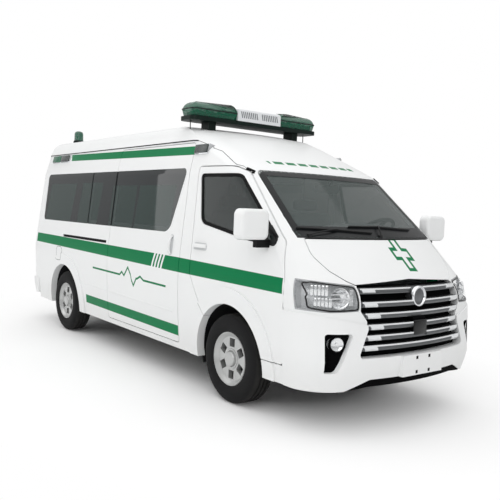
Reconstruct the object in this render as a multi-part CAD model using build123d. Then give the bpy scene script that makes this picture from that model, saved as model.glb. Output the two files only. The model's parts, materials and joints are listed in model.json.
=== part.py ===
from build123d import *
from functools import lru_cache
from math import cos, radians, sin, sqrt, tan
import os

# Raised-roof van ambulance, millimetres. +X is forward, +Y is the driver's left, z = 0 is the ground.

# Overall size
LENGTH = 5300.0
HALF_WIDTH = 847.0
ROOF_Z = 2150.0
GUTTER_Z = 1965.0
BELT_Z = 900.0
SILL_Z = 265.0
WHEELBASE = 3110.0

# Wheels and steering
TYRE_R = 327.0
TYRE_W = 195.0
RIM_R = 200.0
TRACK_HALF = 725.0
KINGPIN_Y = 650.0
SPINDLE_R = 28.0
ARCH_R = 405.0
FLARE_R = 525.0

# Panels, seams and glass
WALL = 55.0
GAP = 7.0
PIN_R = 3.2
CLEAR = 8.0
GLASS_FLUSH = 3.0
GLASS_SEAT = 10.0
POCKET = 20.0
FLANGE = 42.0
BULGE = 12.0
PAD = 22.0

# Body curvature
SIDE_R_UPPER = 4092.0
SIDE_R_LOWER = 4938.0
NOSE_ARC_R = 2400.0
TAIL_ARC_R = 5000.0
TAIL_CORNER_R = 140.0

# Floor, chassis and lights
FLOOR_Z = 600.0
FLOOR_T = 40.0
SEAT_Z = 790.0
RAIL_Y = 365.0
RAIL_W = 70.0
RAIL_H = 130.0
BAR_X = 655.0
BAR_HALF = 700.0
BAR_Z = 2150.0
BEACON_X = -2375.0
BEACON_Y = -370.0

# Positions that follow from these
NOSE = LENGTH / 2
TAIL = -LENGTH / 2
FRONT = WHEELBASE / 2
REAR = -WHEELBASE / 2
SLIDE_FRONT = FRONT - 695
SLIDE_REAR = REAR + 1100
QUARTER_SEAM = REAR + 540
FLOOR_BOTTOM = FLOOR_Z - FLOOR_T
FIREWALL_X = FRONT + 480
HOOD_PIVOT_X = NOSE - 424
HOOD_PIVOT_Z = 1240 + GAP / 2
DOOR_EDGE = 611
DOOR_PIVOT_X = FRONT + DOOR_EDGE + GAP / 2
DOOR_PIVOT_Y = HALF_WIDTH - 2

# Centre-line front profile: set back from the nose, height, rounding radius, facets of the rounding
FRONT_PROFILE = [
    (92, 200, 0, 1),
    (PAD, 440, 260, 2),
    (62, 900, 190, 4),
    (438, 1258, 0, 1),
    (1010, 1735, 500, 2),
    (1830, ROOF_Z - 70, 1500, 2),
    (2500, ROOF_Z + 22, 0, 1),
]
# Centre-line rear profile: set back from the tail, height, rounding radius, facets of the rounding
REAR_PROFILE = [
    (68, 200, 0, 1),
    (PAD, 480, 0, 1),
    (PAD, 900, 0, 1),
    (83, 1735, 0, 1),
    (116, 1930, 0, 1),
    (158, 2060, 0, 1),
    (268, ROOF_Z + 22, 0, 1),
]
# Front corner radius in plan: height, radius
CORNER_PROFILE = [(200, 300), (985, 300), (1735, 240), (ROOF_Z + 22, 220)]

# Side-view outlines: x from the front axle, height, corner radius
FRONT_DOOR = [
    (DOOR_EDGE, 416, 30),
    (DOOR_EDGE, 1010, 150),
    (530, 1215, 120),
    (5, 1694, 90),
    (-110, 1736, 200),
    (-555, 1744, 30),
    (-517, 900, 20),
    (-390, 705, 10),
    (-255, 560, 0),
    (0, 500, 0),
    (345, 416, 0),
]
DOOR_WINDOW = [
    (483, 1182, 24),
    (476, 1244, 60),
    (-24, 1684, 110),
    (-521, 1690, 35),
    (-442, 1300, 90),
    (165, 1205, 400),
]
HEADLAMP_SIDE = [
    (732, 770, 0),
    (680, 1030, 0),
    (1300, 1030, 0),
    (1300, 770, 0),
]

# Front-view outlines, half of each: y, height, corner radius
WINDSCREEN = [
    (697, 1256, 50),
    (648, 1714, 50),
]
HOOD = [
    (0, 992, 0),
    (497, 966, 0),
    (545, 990, 30),
    (622, 1050, 60),
    (672, 1140, 80),
    (652, 1240, 15),
]
GRILLE = [
    (0, 985, 0),
    (500, 959, 12),
    (516, 806, 20),
    (468, 742, 30),
    (468, 690, 30),
    (545, 508, 25),
]
HEADLAMP = [
    (524, 806, 14),
    (508, 962, 14),
    (1000, 1016, 0),
    (1000, 812, 0),
    (720, 798, 60),
]
BUMPER = [
    (440, 368, 60),
    (610, 298, 60),
    (1000, 280, 0),
    (1000, 802, 0),
]
BUMPER_LEDGE = [
    (440, 368, 60),
    (610, 298, 60),
    (1000, 280, 0),
    (1000, 790, 0),
    (820, 786, 60),
    (455, 716, 0),
]
FOG_POCKET = [
    (576, 668, 18),
    (752, 668, 18),
    (750, 417, 12),
    (684, 425, 25),
]
TAILGATE = [
    (690, 508, 40),
    (705, 900, 300),
    (692, 1250, 300),
    (600, GUTTER_Z - GAP, 70),
]
TAILGATE_WINDOW = [
    (610, 1225, 60),
    (570, 1690, 60),
]
GRILLE_BARS_Z = [928, 846, 774, 702, 634, 570]


def outline(points, x_shift=0.0):
    """Flat face from (u, v, corner radius) rows."""
    places = [(u + x_shift, v) for u, v, _ in points]
    return make_face(FilletPolyline(*places, radius=[r for _, _, r in points], close=True))


def both_sides(half):
    """Rows of a shape that is the same left and right, from its left half."""
    return half + [(-y, z, r) for y, z, r in reversed(half) if y > 0]


def right_side(half):
    """Rows moved from the left half to the right half."""
    return [(-y, z, r) for y, z, r in half]


def side_prism(face):
    """Right-hand prism of a side-view face, from the centre plane outwards."""
    return extrude(Plane.XZ * face, amount=2 * HALF_WIDTH)


def end_prism(face, x0, x1):
    """Prism of a front-view face between two stations."""
    return extrude(Plane.YZ.offset(x0) * face, amount=x1 - x0)


def block(x0, x1, y0, y1, z0, z1):
    """Box from its limits."""
    centre = ((x0 + x1) / 2, (y0 + y1) / 2, (z0 + z1) / 2)
    return Pos(*centre) * Box(x1 - x0, y1 - y0, z1 - z0)


def rod(start, end, radius):
    """Round bar between two points."""
    axis = Vector(*end) - Vector(*start)
    return extrude(Plane(origin=start, z_dir=axis) * Circle(radius), amount=axis.length)


def cross_cylinder(x, z, y0, y1, radius):
    """Round bar along Y."""
    return rod((x, y0, z), (x, y1, z), radius)


def pair(part):
    """A right-hand piece with its mirror image."""
    return part + mirror(part, about=Plane.XZ)


def table_value(rows, z):
    """Straight-line value between the rows of a (height, value) table."""
    for (z0, v0), (z1, v1) in zip(rows, rows[1:]):
        if z <= z1:
            return v0 + (v1 - v0) * (z - z0) / (z1 - z0)
    return rows[-1][1]


def rounded_profile(corners):
    """Points of a polyline whose inner corners are turned into faceted arcs."""
    points = [Vector(*corners[0][:2])]
    for before, corner, after in zip(corners, corners[1:], corners[2:]):
        middle = Vector(*corner[:2])
        radius, steps = corner[2:]
        if radius == 0:
            points.append(middle)
            continue
        back = (Vector(*before[:2]) - middle).normalized()
        ahead = (Vector(*after[:2]) - middle).normalized()
        half = radians(back.get_angle(ahead)) / 2
        centre = middle + (back + ahead).normalized() * (radius / sin(half))
        first = middle + back * (radius / tan(half)) - centre
        last = middle + ahead * (radius / tan(half)) - centre
        turn = radians(first.get_angle(last))
        for step in range(steps + 1):
            share = step / steps
            spot = first * sin((1 - share) * turn) + last * sin(share * turn)
            points.append(centre + spot * (1 / sin(turn)))
    points.append(Vector(*corners[-1][:2]))
    return points


def half_width(z):
    """Half width of the body side at a height."""
    radius = SIDE_R_UPPER if z > BELT_Z else SIDE_R_LOWER
    return HALF_WIDTH - (radius - sqrt(radius * radius - (z - BELT_Z) ** 2))


def corner_points(x_end, width, arc_r, corner_r):
    """Tangent point on the end arc, middle of the corner and end of the side."""
    arc_x = x_end - arc_r
    corner_y = width - corner_r
    corner_x = arc_x + sqrt((arc_r - corner_r) ** 2 - corner_y ** 2)
    reach = arc_r / (arc_r - corner_r)
    tangent = (arc_x + (corner_x - arc_x) * reach, corner_y * reach)
    outward = Vector(corner_x - arc_x, corner_y).normalized() + Vector(0, 1)
    middle = Vector(corner_x, corner_y) + outward.normalized() * corner_r
    return tangent, (middle.X, middle.Y), (corner_x, width)


def plan_outline(z, x_end, arc_r, corner_r, inset):
    """Plan outline at one height: arc and corners at +X, square far behind."""
    width = half_width(min(z, GUTTER_Z)) + 4 - inset
    left = corner_points(x_end - inset, width, arc_r - inset, corner_r - inset)
    right = [(x, -y) for x, y in left]
    edges = [
        ThreePointArc(right[0], (x_end - inset, 0), left[0]),
        ThreePointArc(*left),
        Polyline(left[2], (-LENGTH, width), (-LENGTH, -width), right[2]),
        ThreePointArc(right[2], right[1], right[0]),
    ]
    return Plane.XY.offset(z) * make_face(edges)


def end_form(profile, arc_r, corners, inset):
    """Loft of plan outlines that shapes one end of the body, facing +X."""
    levels = []
    for point in rounded_profile(profile):
        corner_r = table_value(corners, point.Y)
        levels.append(plan_outline(point.Y, LENGTH / 2 - point.X, arc_r, corner_r, inset))
    return loft(levels, ruled=True)


def cross_section(inset):
    """Full cross section of the body, in the YZ plane."""
    eave = half_width(GUTTER_Z)
    low = FRONT_PROFILE[0][1]
    top = ROOF_Z - inset
    half = make_face([
        Line((0, low), (half_width(low) - inset, low)),
        ThreePointArc((half_width(low) - inset, low), (half_width(560) - inset, 560), (HALF_WIDTH - inset, BELT_Z)),
        ThreePointArc((HALF_WIDTH - inset, BELT_Z), (half_width(1450) - inset, 1450), (eave - inset, GUTTER_Z)),
        Line((eave - inset, GUTTER_Z), (eave - 38 - inset, GUTTER_Z + 75)),
        ThreePointArc(
            (eave - 38 - inset, GUTTER_Z + 75),
            (eave - 78 - 0.8 * inset, ROOF_Z - 55 - 0.6 * inset),
            (eave - 166 - 0.5 * inset, ROOF_Z - 26 - inset),
        ),
        ThreePointArc((eave - 166 - 0.5 * inset, ROOF_Z - 26 - inset), (eave * 0.38, top - 6.5), (0, top)),
        Line((0, top), (0, low)),
    ])
    return Plane.YZ * (half + mirror(half, about=Plane.YZ))


@lru_cache(maxsize=None)
def envelope(inset):
    """Solid inside the body surface, moved inwards by an inset."""
    nose = end_form(FRONT_PROFILE, NOSE_ARC_R, CORNER_PROFILE, inset)
    tail = end_form(REAR_PROFILE, TAIL_ARC_R, [(0, TAIL_CORNER_R), (2 * ROOF_Z, TAIL_CORNER_R)], inset)
    section = extrude(cross_section(inset), amount=LENGTH, both=True)
    return section & nose & mirror(tail, about=Plane.YZ)


@lru_cache(maxsize=None)
def half_envelope(inset):
    """Right half of the envelope."""
    return envelope(inset) & block(-LENGTH, LENGTH, -2 * HALF_WIDTH, 0, 0, 2 * ROOF_Z)


def skin(zone, outer, inner):
    """The part of a zone between two insets of the right half of the body."""
    return (zone & half_envelope(outer)) - half_envelope(inner)


def full_skin(zone, outer, inner):
    """The part of a zone between two insets of the whole body."""
    return (zone & envelope(outer)) - envelope(inner)


def arch(axle_x, radius):
    """Wheel arch cut, right-hand side."""
    return cross_cylinder(axle_x, TYRE_R, -2 * HALF_WIDTH, 0, radius)


def flare(axle_x, zone):
    """Raised ring around a wheel arch inside a zone."""
    ring = arch(axle_x, FLARE_R) - arch(axle_x, ARCH_R)
    return skin(ring & zone, -BULGE, POCKET)


def roof_zone():
    """Side-view face above the gutter and the windscreen top."""
    gutter = [
        (TAIL - 100, GUTTER_Z, 0),
        (FRONT - 555, GUTTER_Z, 250),
        (FRONT + 48, 1690, 0),
        (NOSE + 100, 1690, 0),
        (NOSE + 100, ROOF_Z + 200, 0),
        (TAIL - 100, ROOF_Z + 200, 0),
    ]
    return outline(gutter)


def windscreen_face():
    """Front-view face of the windscreen."""
    return outline(both_sides(WINDSCREEN))


def windscreen_zone(shrink):
    """Prism through the windscreen opening, drawn in from the edge of the glass."""
    return end_prism(offset(windscreen_face(), amount=-shrink), FRONT - 300, NOSE)


@lru_cache(maxsize=None)
def windscreen_cut():
    """Stepped opening that the windscreen is bonded into."""
    return (windscreen_zone(0) - envelope(GLASS_SEAT)) + windscreen_zone(FLANGE)


def cowl_zone():
    """Strip between the hood and the windscreen."""
    return block(FRONT + 300, NOSE, -695, 695, 1247, 1300)


def hood_zone(grow):
    """Prism of the hood outline."""
    return end_prism(offset(outline(both_sides(HOOD)), amount=grow), FRONT + 300, NOSE)


def grille_zone():
    """Prism of the grille opening."""
    return end_prism(outline(both_sides(GRILLE)), FRONT + 500, NOSE + 50)


def headlamp_zone(shrink):
    """Right headlamp prism, drawn in from the edge of its opening."""
    front = end_prism(offset(outline(right_side(HEADLAMP)), amount=-shrink), FRONT + 500, NOSE + 50)
    return front & side_prism(offset(outline(HEADLAMP_SIDE, FRONT), amount=-shrink))


def tailgate_zone(grow):
    """Prism of the tailgate outline."""
    return end_prism(offset(outline(both_sides(TAILGATE)), amount=grow), TAIL - 50, TAIL + 320)


def tail_lamp_zone():
    """Right rear corner lamp."""
    return block(TAIL - 50, TAIL + 172, -HALF_WIDTH - 20, -728, 750, 1130)


def door_zone(grow):
    """Right front door prism."""
    return side_prism(offset(outline(FRONT_DOOR, FRONT), amount=grow))


def slide_face():
    """Side-view face of the sliding door."""
    rows = [
        (SLIDE_REAR, 318, 25),
        (SLIDE_FRONT, 318, 25),
        (SLIDE_FRONT, GUTTER_Z - 22, 40),
        (SLIDE_REAR, GUTTER_Z - 22, 40),
    ]
    return outline(rows)


def pane_rows():
    """Side-view outlines of the quarter, middle and sliding-door panes."""
    low = 1206
    high = 1738
    quarter = [
        (TAIL + 370, low, 45),
        (QUARTER_SEAM - 4, low, 8),
        (QUARTER_SEAM - 4, high, 8),
        (TAIL + 370, high, 45),
    ]
    middle = [
        (QUARTER_SEAM + 4, low, 8),
        (SLIDE_REAR - GAP - 4, low, 8),
        (SLIDE_REAR - GAP - 4, high, 8),
        (QUARTER_SEAM + 4, high, 8),
    ]
    door = [
        (SLIDE_REAR + 4, low, 8),
        (SLIDE_FRONT - 210, low, 120),
        (SLIDE_FRONT - 30, high, 45),
        (SLIDE_REAR + 4, high, 8),
    ]
    return [quarter, middle, door]


def bonded(panel, rows):
    """Panel with a stepped opening for a bonded side pane."""
    face = outline(rows)
    seat = side_prism(face) - half_envelope(GLASS_SEAT)
    hole = side_prism(offset(face, amount=-FLANGE))
    return panel - seat - hole


def side_pane(rows):
    """Glass of one bonded side pane."""
    return skin(side_prism(outline(rows)), GLASS_FLUSH, GLASS_SEAT)


@lru_cache(maxsize=None)
def side_frame():
    """Body side from the A-pillar to the tail, drawn on the right."""
    zone = block(TAIL - 50, FRONT, -2 * HALF_WIDTH, -560, SILL_Z, GUTTER_Z)
    zone += block(FRONT, NOSE, -2 * HALF_WIDTH, -560, 1300, GUTTER_Z)
    panel = skin(zone - side_prism(roof_zone()), 0, WALL)
    rear = block(TAIL - 50, SLIDE_FRONT - 1, -2 * HALF_WIDTH, 0, SILL_Z, GUTTER_Z)
    behind = block(SLIDE_FRONT + 1, FRONT, -2 * HALF_WIDTH, 0, SILL_Z, GUTTER_Z)
    panel += flare(REAR, rear)
    panel += flare(FRONT, behind - door_zone(GAP))
    panel -= door_zone(GAP)
    panel -= arch(FRONT, ARCH_R) + arch(REAR, ARCH_R)
    panel -= windscreen_cut()
    panel -= cowl_zone()
    panel -= tailgate_zone(GAP)
    panel -= tail_lamp_zone()
    panel -= block(TAIL - 50, TAIL + 290, -2 * HALF_WIDTH, 0, 0, 500)
    for rows in pane_rows():
        panel = bonded(panel, rows)
    panel -= side_prism(outline(slide_slot())) - half_envelope(POCKET)
    return max(panel.solids(), key=lambda s: s.volume)


def hinge_pin(x, z, web):
    """Hinge pin across the centre plane in a seam, on a web that rises to the panel above it."""
    pin = cross_cylinder(x, z, -60, 60, PIN_R)
    return pin + block(x - PIN_R, x + web / 2, -60, 60, z, z + GAP / 2 + 1)


def side_frame_right():
    """Right body side with the sliding-door opening."""
    panel = side_frame() - side_prism(offset(slide_face(), amount=GAP))
    return max(panel.solids(), key=lambda s: s.volume)


def slide_slot():
    """Side-view rows of the sliding-door track slot."""
    return [
        (REAR - 70, 1036, 8),
        (SLIDE_REAR - 60, 1036, 8),
        (SLIDE_REAR - 60, 1064, 8),
        (REAR - 70, 1064, 8),
    ]


def slide_rail():
    """Track in the slot on each side."""
    return pair(skin(side_prism(outline(slide_slot())), GLASS_SEAT, POCKET))


def sliding_door():
    """Right sliding door with a stepped, sealing edge."""
    panel = skin(side_prism(slide_face()), 0, WALL)
    panel += skin(side_prism(offset(slide_face(), amount=GAP)), POCKET, WALL)
    return bonded(panel, pane_rows()[2])


def side_glass():
    """Bonded panes of both sides."""
    glass = Part()
    for rows in pane_rows():
        glass += pair(side_pane(rows))
    return glass


def front_door():
    """Right front door, hinged at its front edge."""
    zone = door_zone(0)
    panel = skin(zone, 0, WALL) + flare(FRONT, zone)
    panel -= arch(FRONT, ARCH_R)
    panel -= side_prism(outline(DOOR_WINDOW, FRONT))
    panel -= block(FRONT + 300, NOSE, -706, 0, 1000, 1420)
    return max(panel.solids(), key=lambda s: s.volume)


def front_door_glass():
    """Drop glass of the right front door."""
    return skin(side_prism(outline(DOOR_WINDOW, FRONT)), GLASS_SEAT, POCKET)


def door_mirror():
    """Right door mirror with its arm and base plate."""
    head = block(FRONT + 355, FRONT + 445, -1075, -842, 1222, 1428)
    head = fillet(head.edges().filter_by(Axis.X), 45)
    head = fillet(head.faces().sort_by(Axis.X)[-1].edges(), 25)
    arm = block(FRONT + 380, FRONT + 425, -930, -700, 1172, 1224)
    return head + (arm - half_envelope(0))


def high_roof():
    """Raised roof with the header above the windscreen."""
    zone = side_prism(roof_zone())
    panel = full_skin(pair(zone), 0, WALL)
    panel -= windscreen_cut()
    return panel + hinge_pin(TAIL + 129, GUTTER_Z - GAP / 2, PIN_R)


def windscreen():
    """Bonded windscreen."""
    return full_skin(windscreen_zone(0), GLASS_FLUSH, GLASS_SEAT)


def cowl_panel():
    """Panel below the windscreen."""
    panel = full_skin(cowl_zone(), 0, WALL)
    panel -= windscreen_cut()
    panel = max(panel.solids(), key=lambda s: s.volume)
    return panel + hinge_pin(HOOD_PIVOT_X, HOOD_PIVOT_Z, PIN_R)


def fender():
    """Right front fender, between door, hood and bumper."""
    zone = block(FRONT + 300, NOSE, -2 * HALF_WIDTH, 0, 802, 1300)
    panel = skin(zone, 0, WALL) - door_zone(GAP) - hood_zone(GAP)
    panel -= headlamp_zone(0) + cowl_zone() + grille_zone()
    panel -= windscreen_cut()
    panel = max(panel.solids(), key=lambda s: s.volume)
    for z in (830, 910):
        panel += rod((DOOR_PIVOT_X, -DOOR_PIVOT_Y, z), (DOOR_PIVOT_X, -DOOR_PIVOT_Y, z + 50), PIN_R)
        panel += block(DOOR_PIVOT_X, DOOR_PIVOT_X + GAP, -DOOR_PIVOT_Y, PIN_R - DOOR_PIVOT_Y, z, z + 50)
    return panel


def hood():
    """Short hood, hinged at the cowl."""
    return full_skin(hood_zone(0), 0, WALL)


def front_bumper():
    """Wrap-round bumper with a ledge, a plate pad and four plate holes."""
    front = FRONT + 622
    zone = end_prism(outline(both_sides(BUMPER)), front, NOSE + 50)
    ledge = end_prism(outline(both_sides(BUMPER_LEDGE)), front, NOSE + 50)
    panel = full_skin(zone, 0, WALL) + full_skin(ledge, -BULGE, POCKET)
    panel -= grille_zone()
    panel += block(NOSE - 2 * WALL, NOSE, -205, 205, 370, 508) - envelope(POCKET)
    pocket = end_prism(outline(right_side(FOG_POCKET)), front, NOSE + 50)
    panel -= pair(pocket)
    panel -= headlamp_zone(0) + mirror(headlamp_zone(0), about=Plane.XZ)
    for y in (-64, 64):
        for z in (391, 487):
            panel -= rod((front, y, z), (NOSE + 50, y, z), 3.5)
    return panel


def bumper_inserts():
    """Black fog-lamp bezels and lower lip."""
    front = FRONT + 622
    pocket = end_prism(outline(right_side(FOG_POCKET)), front, NOSE + 50)
    lip = end_prism(outline(both_sides([(440, 312, 60), (640, 286, 0), (640, 340, 0), (440, 400, 0)])), front, NOSE + 50)
    lip -= end_prism(outline(both_sides(BUMPER)), front, NOSE + 50)
    return pair(skin(pocket, POCKET, WALL)) + full_skin(lip, GLASS_FLUSH, WALL)


def fog_lamps():
    """Round fog lamps in their bezels."""
    lamp = rod((FRONT + 622, -677, 603), (NOSE + 50, -677, 603), 45)
    return pair(skin(lamp, GLASS_FLUSH, POCKET))


def grille_cuts():
    """Roundel and sensor cover prisms."""
    roundel = rod((FRONT + 800, 0, 884), (NOSE + 50, 0, 884), 64)
    sensor = block(FRONT + 800, NOSE + 50, -66, 66, 690, 792)
    return roundel, sensor


def grille_backing():
    """Dark grille back wall with the sensor cover."""
    sensor = grille_cuts()[1]
    rim = end_prism(offset(outline(both_sides(GRILLE)), amount=16), FRONT + 500, NOSE + 50)
    rim &= block(0, LENGTH, -HALF_WIDTH, HALF_WIDTH, 0, 955)
    rim -= pair(headlamp_zone(0))
    return full_skin(rim, WALL, WALL + CLEAR) + full_skin(sensor, GLASS_FLUSH, WALL)


def grille_bars():
    """Six bright bars and a plain roundel."""
    roundel, sensor = grille_cuts()
    strips = Part()
    for z in GRILLE_BARS_Z:
        strips += block(FRONT + 700, NOSE + 50, -HALF_WIDTH, HALF_WIDTH, z - 17, z + 17)
    strips -= sensor + roundel
    bars = full_skin((strips & grille_zone()) + roundel, GLASS_FLUSH, WALL)
    return bars


def headlamp_housings():
    """Dark lamp trays behind the lenses."""
    tray = (headlamp_zone(0) & half_envelope(GLASS_FLUSH)) - Pos(-95, 30, 0) * half_envelope(0)
    return pair(tray - (headlamp_zone(9) - Pos(-80, 24, 0) * half_envelope(0)))


def headlamp_lenses():
    """Clear outer lenses."""
    return pair(skin(headlamp_zone(9), 0, GLASS_SEAT))


def tail_lamps():
    """Rear corner lamps."""
    return pair(skin(tail_lamp_zone(), 0, WALL))


def tailgate():
    """Top-hinged tailgate."""
    panel = full_skin(tailgate_zone(0), 0, WALL)
    face = outline(both_sides(TAILGATE_WINDOW))
    panel -= end_prism(face, TAIL - 50, TAIL + 320) - envelope(GLASS_SEAT)
    return panel - end_prism(offset(face, amount=-FLANGE), TAIL - 50, TAIL + 320)


def tailgate_glass():
    """Bonded tailgate pane."""
    face = outline(both_sides(TAILGATE_WINDOW))
    return full_skin(end_prism(face, TAIL - 50, TAIL + 320), GLASS_FLUSH, GLASS_SEAT)


def rear_bumper():
    """Rear bumper with its step."""
    zone = block(TAIL - 50, TAIL + 290, 10 - HALF_WIDTH, HALF_WIDTH - 10, 318, 500)
    return full_skin(zone, -PAD, WALL)


def wheelhouse(axle_x, inner_y, inset):
    """Right wheelhouse liner with its inner wall."""
    zone = block(axle_x - 460, axle_x + 460, -HALF_WIDTH, -inner_y, 300, 800)
    shell = zone & (arch(axle_x, ARCH_R + 30) - arch(axle_x, ARCH_R + 3))
    wall = block(axle_x - 460, axle_x + 460, -inner_y, 12 - inner_y, 500, 800)
    disc = cross_cylinder(axle_x, TYRE_R, -HALF_WIDTH, 0, ARCH_R + 30)
    return (shell & half_envelope(inset)) + (wall & disc)


def front_wheelhouses():
    """Liners above the steered wheels."""
    return pair(wheelhouse(FRONT, 430, WALL + CLEAR))


def rear_wheelhouses():
    """Liners above the rear wheels."""
    return pair(wheelhouse(REAR, 510, WALL))


def front_sills():
    """Short sills ahead of the front wheels."""
    zone = block(FRONT, FRONT + 620, -2 * HALF_WIDTH, 0, SILL_Z + 20, 416 - GAP)
    inner = Pos(0, 30, 0) * half_envelope(WALL)
    sill = (zone & half_envelope(0)) - inner + flare(FRONT, zone)
    return pair(sill - arch(FRONT, ARCH_R) - wheelhouse(FRONT, 430, WALL + CLEAR))


def floor_pan():
    """Floor from the firewall to the tail, cut for the wheelhouses."""
    slab = block(TAIL + 60, SLIDE_FRONT + 140, -HALF_WIDTH, HALF_WIDTH, FLOOR_BOTTOM, FLOOR_Z) & envelope(WALL)
    cab = block(SLIDE_FRONT + 140, FIREWALL_X, -HALF_WIDTH, HALF_WIDTH, FLOOR_BOTTOM, FLOOR_Z)
    cab += block(FIREWALL_X, FIREWALL_X + 25, -HALF_WIDTH, HALF_WIDTH, FLOOR_BOTTOM, 1400)
    cab += block(FRONT - 500, FRONT + 40, -405, 405, FLOOR_Z, SEAT_Z)
    floor = slab + (cab & envelope(WALL + CLEAR))
    floor -= tailgate_zone(GAP)
    for axle_x, inner_y in ((FRONT, 430), (REAR, 510)):
        well = arch(axle_x, ARCH_R + 30) & block(-LENGTH, LENGTH, -HALF_WIDTH, 12 - inner_y, 0, 1000)
        floor -= well + mirror(well, about=Plane.XZ)
    return floor


def chassis_frame():
    """Two rails joined by crossmembers."""
    frame = Part()
    for side in (-1, 1):
        y = side * RAIL_Y
        frame += block(TAIL + 180, NOSE - 300, y - RAIL_W / 2, y + RAIL_W / 2, FLOOR_BOTTOM - RAIL_H, FLOOR_BOTTOM)
    for x in (TAIL + 220, REAR + 640, 300, NOSE - 340):
        frame += block(x - 35, x + 35, -RAIL_Y, RAIL_Y, FLOOR_BOTTOM - RAIL_H, FLOOR_BOTTOM - 40)
    return frame


def engine_block():
    """Engine and gearbox as one block."""
    top = FLOOR_BOTTOM
    inner = RAIL_Y - RAIL_W / 2
    engine = block(FRONT - 420, FRONT + 300, -inner, inner, top - 270, top)
    return engine + block(FRONT - 900, FRONT - 420, -150, 150, top - 240, top)


def propshaft():
    """Shaft from the gearbox to the rear axle."""
    height = TYRE_R + 28
    return rod((FRONT - 900, 0, height), (REAR + 150, 0, height), 30)


def rear_axle():
    """Beam axle with its final drive and wheel spindles."""
    axle = cross_cylinder(REAR, TYRE_R, -620, 620, 45)
    axle += cross_cylinder(REAR, TYRE_R, -TRACK_HALF - 10, TRACK_HALF + 10, SPINDLE_R)
    axle += Pos(REAR, 0, TYRE_R) * Sphere(140)
    return axle + rod((REAR, 0, TYRE_R), (REAR + 150, 0, TYRE_R), 60)


def leaf_springs():
    """Leaf springs over the rear axle, hung from the rails."""
    y0 = RAIL_Y + RAIL_W / 2
    rows = [(-640, 480), (-300, 408), (0, 388), (300, 408), (640, 480)]
    upper = [(REAR + x, z + 14) for x, z in rows]
    lower = [(REAR + x, z - 14) for x, z in rows]
    leaf = make_face(Polyline(*upper, *reversed(lower), close=True))
    spring = extrude(Plane.XZ * leaf, amount=y0 + 70) - block(-LENGTH, LENGTH, -y0, 0, 0, 1000)
    saddle = block(REAR - 60, REAR + 60, -y0 - 70, -y0, TYRE_R, 380)
    saddle -= cross_cylinder(REAR, TYRE_R, -HALF_WIDTH, 0, 45)
    return pair(spring + saddle)


def suspension_arms():
    """Front crossmember with lower and upper arms to the kingpins."""
    beam = block(FRONT - 90, FRONT + 90, -RAIL_Y, RAIL_Y, 190, 290)
    post = block(FRONT - 60, FRONT + 60, -RAIL_Y - 30, -RAIL_Y, 190, FLOOR_BOTTOM - RAIL_H)
    lower = block(FRONT - 40, FRONT + 40, -KINGPIN_Y, -RAIL_Y - 30, 205, 235)
    upper = block(FRONT - 30, FRONT + 30, -KINGPIN_Y, -RAIL_Y - 30, 410, 430)
    arms = post + lower + upper
    for z0, z1, radius in ((205, 235, 34), (410, 430, 28)):
        arms += rod((FRONT, -KINGPIN_Y, z0), (FRONT, -KINGPIN_Y, z1), radius)
    arms -= rod((FRONT, -KINGPIN_Y, 100), (FRONT, -KINGPIN_Y, 500), 14.3)
    return beam + pair(arms)


def knuckle():
    """Right steering knuckle: upright, kingpin ends and wheel spindle."""
    body = block(FRONT - 32, FRONT + 32, -KINGPIN_Y - 28, -KINGPIN_Y + 28, 241, 404)
    body += rod((FRONT, -KINGPIN_Y, 200), (FRONT, -KINGPIN_Y, 436), 14)
    return body + cross_cylinder(FRONT, TYRE_R, -TRACK_HALF - 10, -KINGPIN_Y, SPINDLE_R)


def wheel_profile(rows, axle_x, centre_y):
    """Solid of revolution about a wheel axis from (y, radius) rows."""
    places = [(axle_x, centre_y + y, TYRE_R + r) for y, r in rows]
    face = make_face(Polyline(*places, close=True))
    return revolve(face, axis=Axis((axle_x, 0, TYRE_R), (0, 1, 0)))


def wheel(axle_x):
    """Right wheel: rim barrel, hub and a six-window cover."""
    half = TYRE_W / 2
    hub = SPINDLE_R + 0.3
    rows = [
        (-half + 14, RIM_R - 4),
        (half - 14, RIM_R - 4),
        (half - 14, RIM_R - 32),
        (-24, RIM_R - 42),
        (-24, 60),
        (6, 60),
        (6, hub),
        (-52, hub),
        (-52, 0),
        (-84, 0),
        (-80, 52),
        (-62, 58),
        (-62, RIM_R - 38),
        (-half + 14, RIM_R - 14),
    ]
    disc = wheel_profile(rows, axle_x, -TRACK_HALF)
    for index in range(6):
        turn = Location((axle_x, -TRACK_HALF, TYRE_R), (0, 60 * index, 0))
        window = turn * Pos(0, -40, 118) * Box(62, 90, 62)
        disc -= window
    return disc


def tyre(axle_x):
    """Right tyre, open at the bead."""
    half = TYRE_W / 2
    rows = [
        (-half + 14, RIM_R - 4),
        (-half + 8, RIM_R + 6),
        (-half, RIM_R + 50),
        (-half + 6, TYRE_R - 34),
        (-half + 24, TYRE_R - 8),
        (-half + 44, TYRE_R),
        (half - 44, TYRE_R),
        (half - 24, TYRE_R - 8),
        (half - 6, TYRE_R - 34),
        (half, RIM_R + 50),
        (half - 8, RIM_R + 6),
        (half - 14, RIM_R - 4),
    ]
    return wheel_profile(rows, axle_x, -TRACK_HALF)


def mudflaps():
    """Flaps behind all four wheels."""
    flaps = Part()
    for axle_x, inset, top in ((FRONT, WALL, 340), (REAR, WALL, 340)):
        plate = block(axle_x - ARCH_R - 40, axle_x - ARCH_R - 30, -HALF_WIDTH, -HALF_WIDTH + 190, 200, top)
        flaps += pair(plate & half_envelope(inset))
    return flaps


def exhaust():
    """Silencer and tail pipe."""
    hang = block(-320, -280, -240, -200, 380, FLOOR_BOTTOM)
    box = rod((-700, -220, 360), (100, -220, 360), 85)
    pipe = rod((100, -220, 360), (FRONT - 650, -220, 420), 26)
    tail = rod((-1250, -220, 360), (-700, -220, 360), 26)
    return hang + box + pipe + tail


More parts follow.
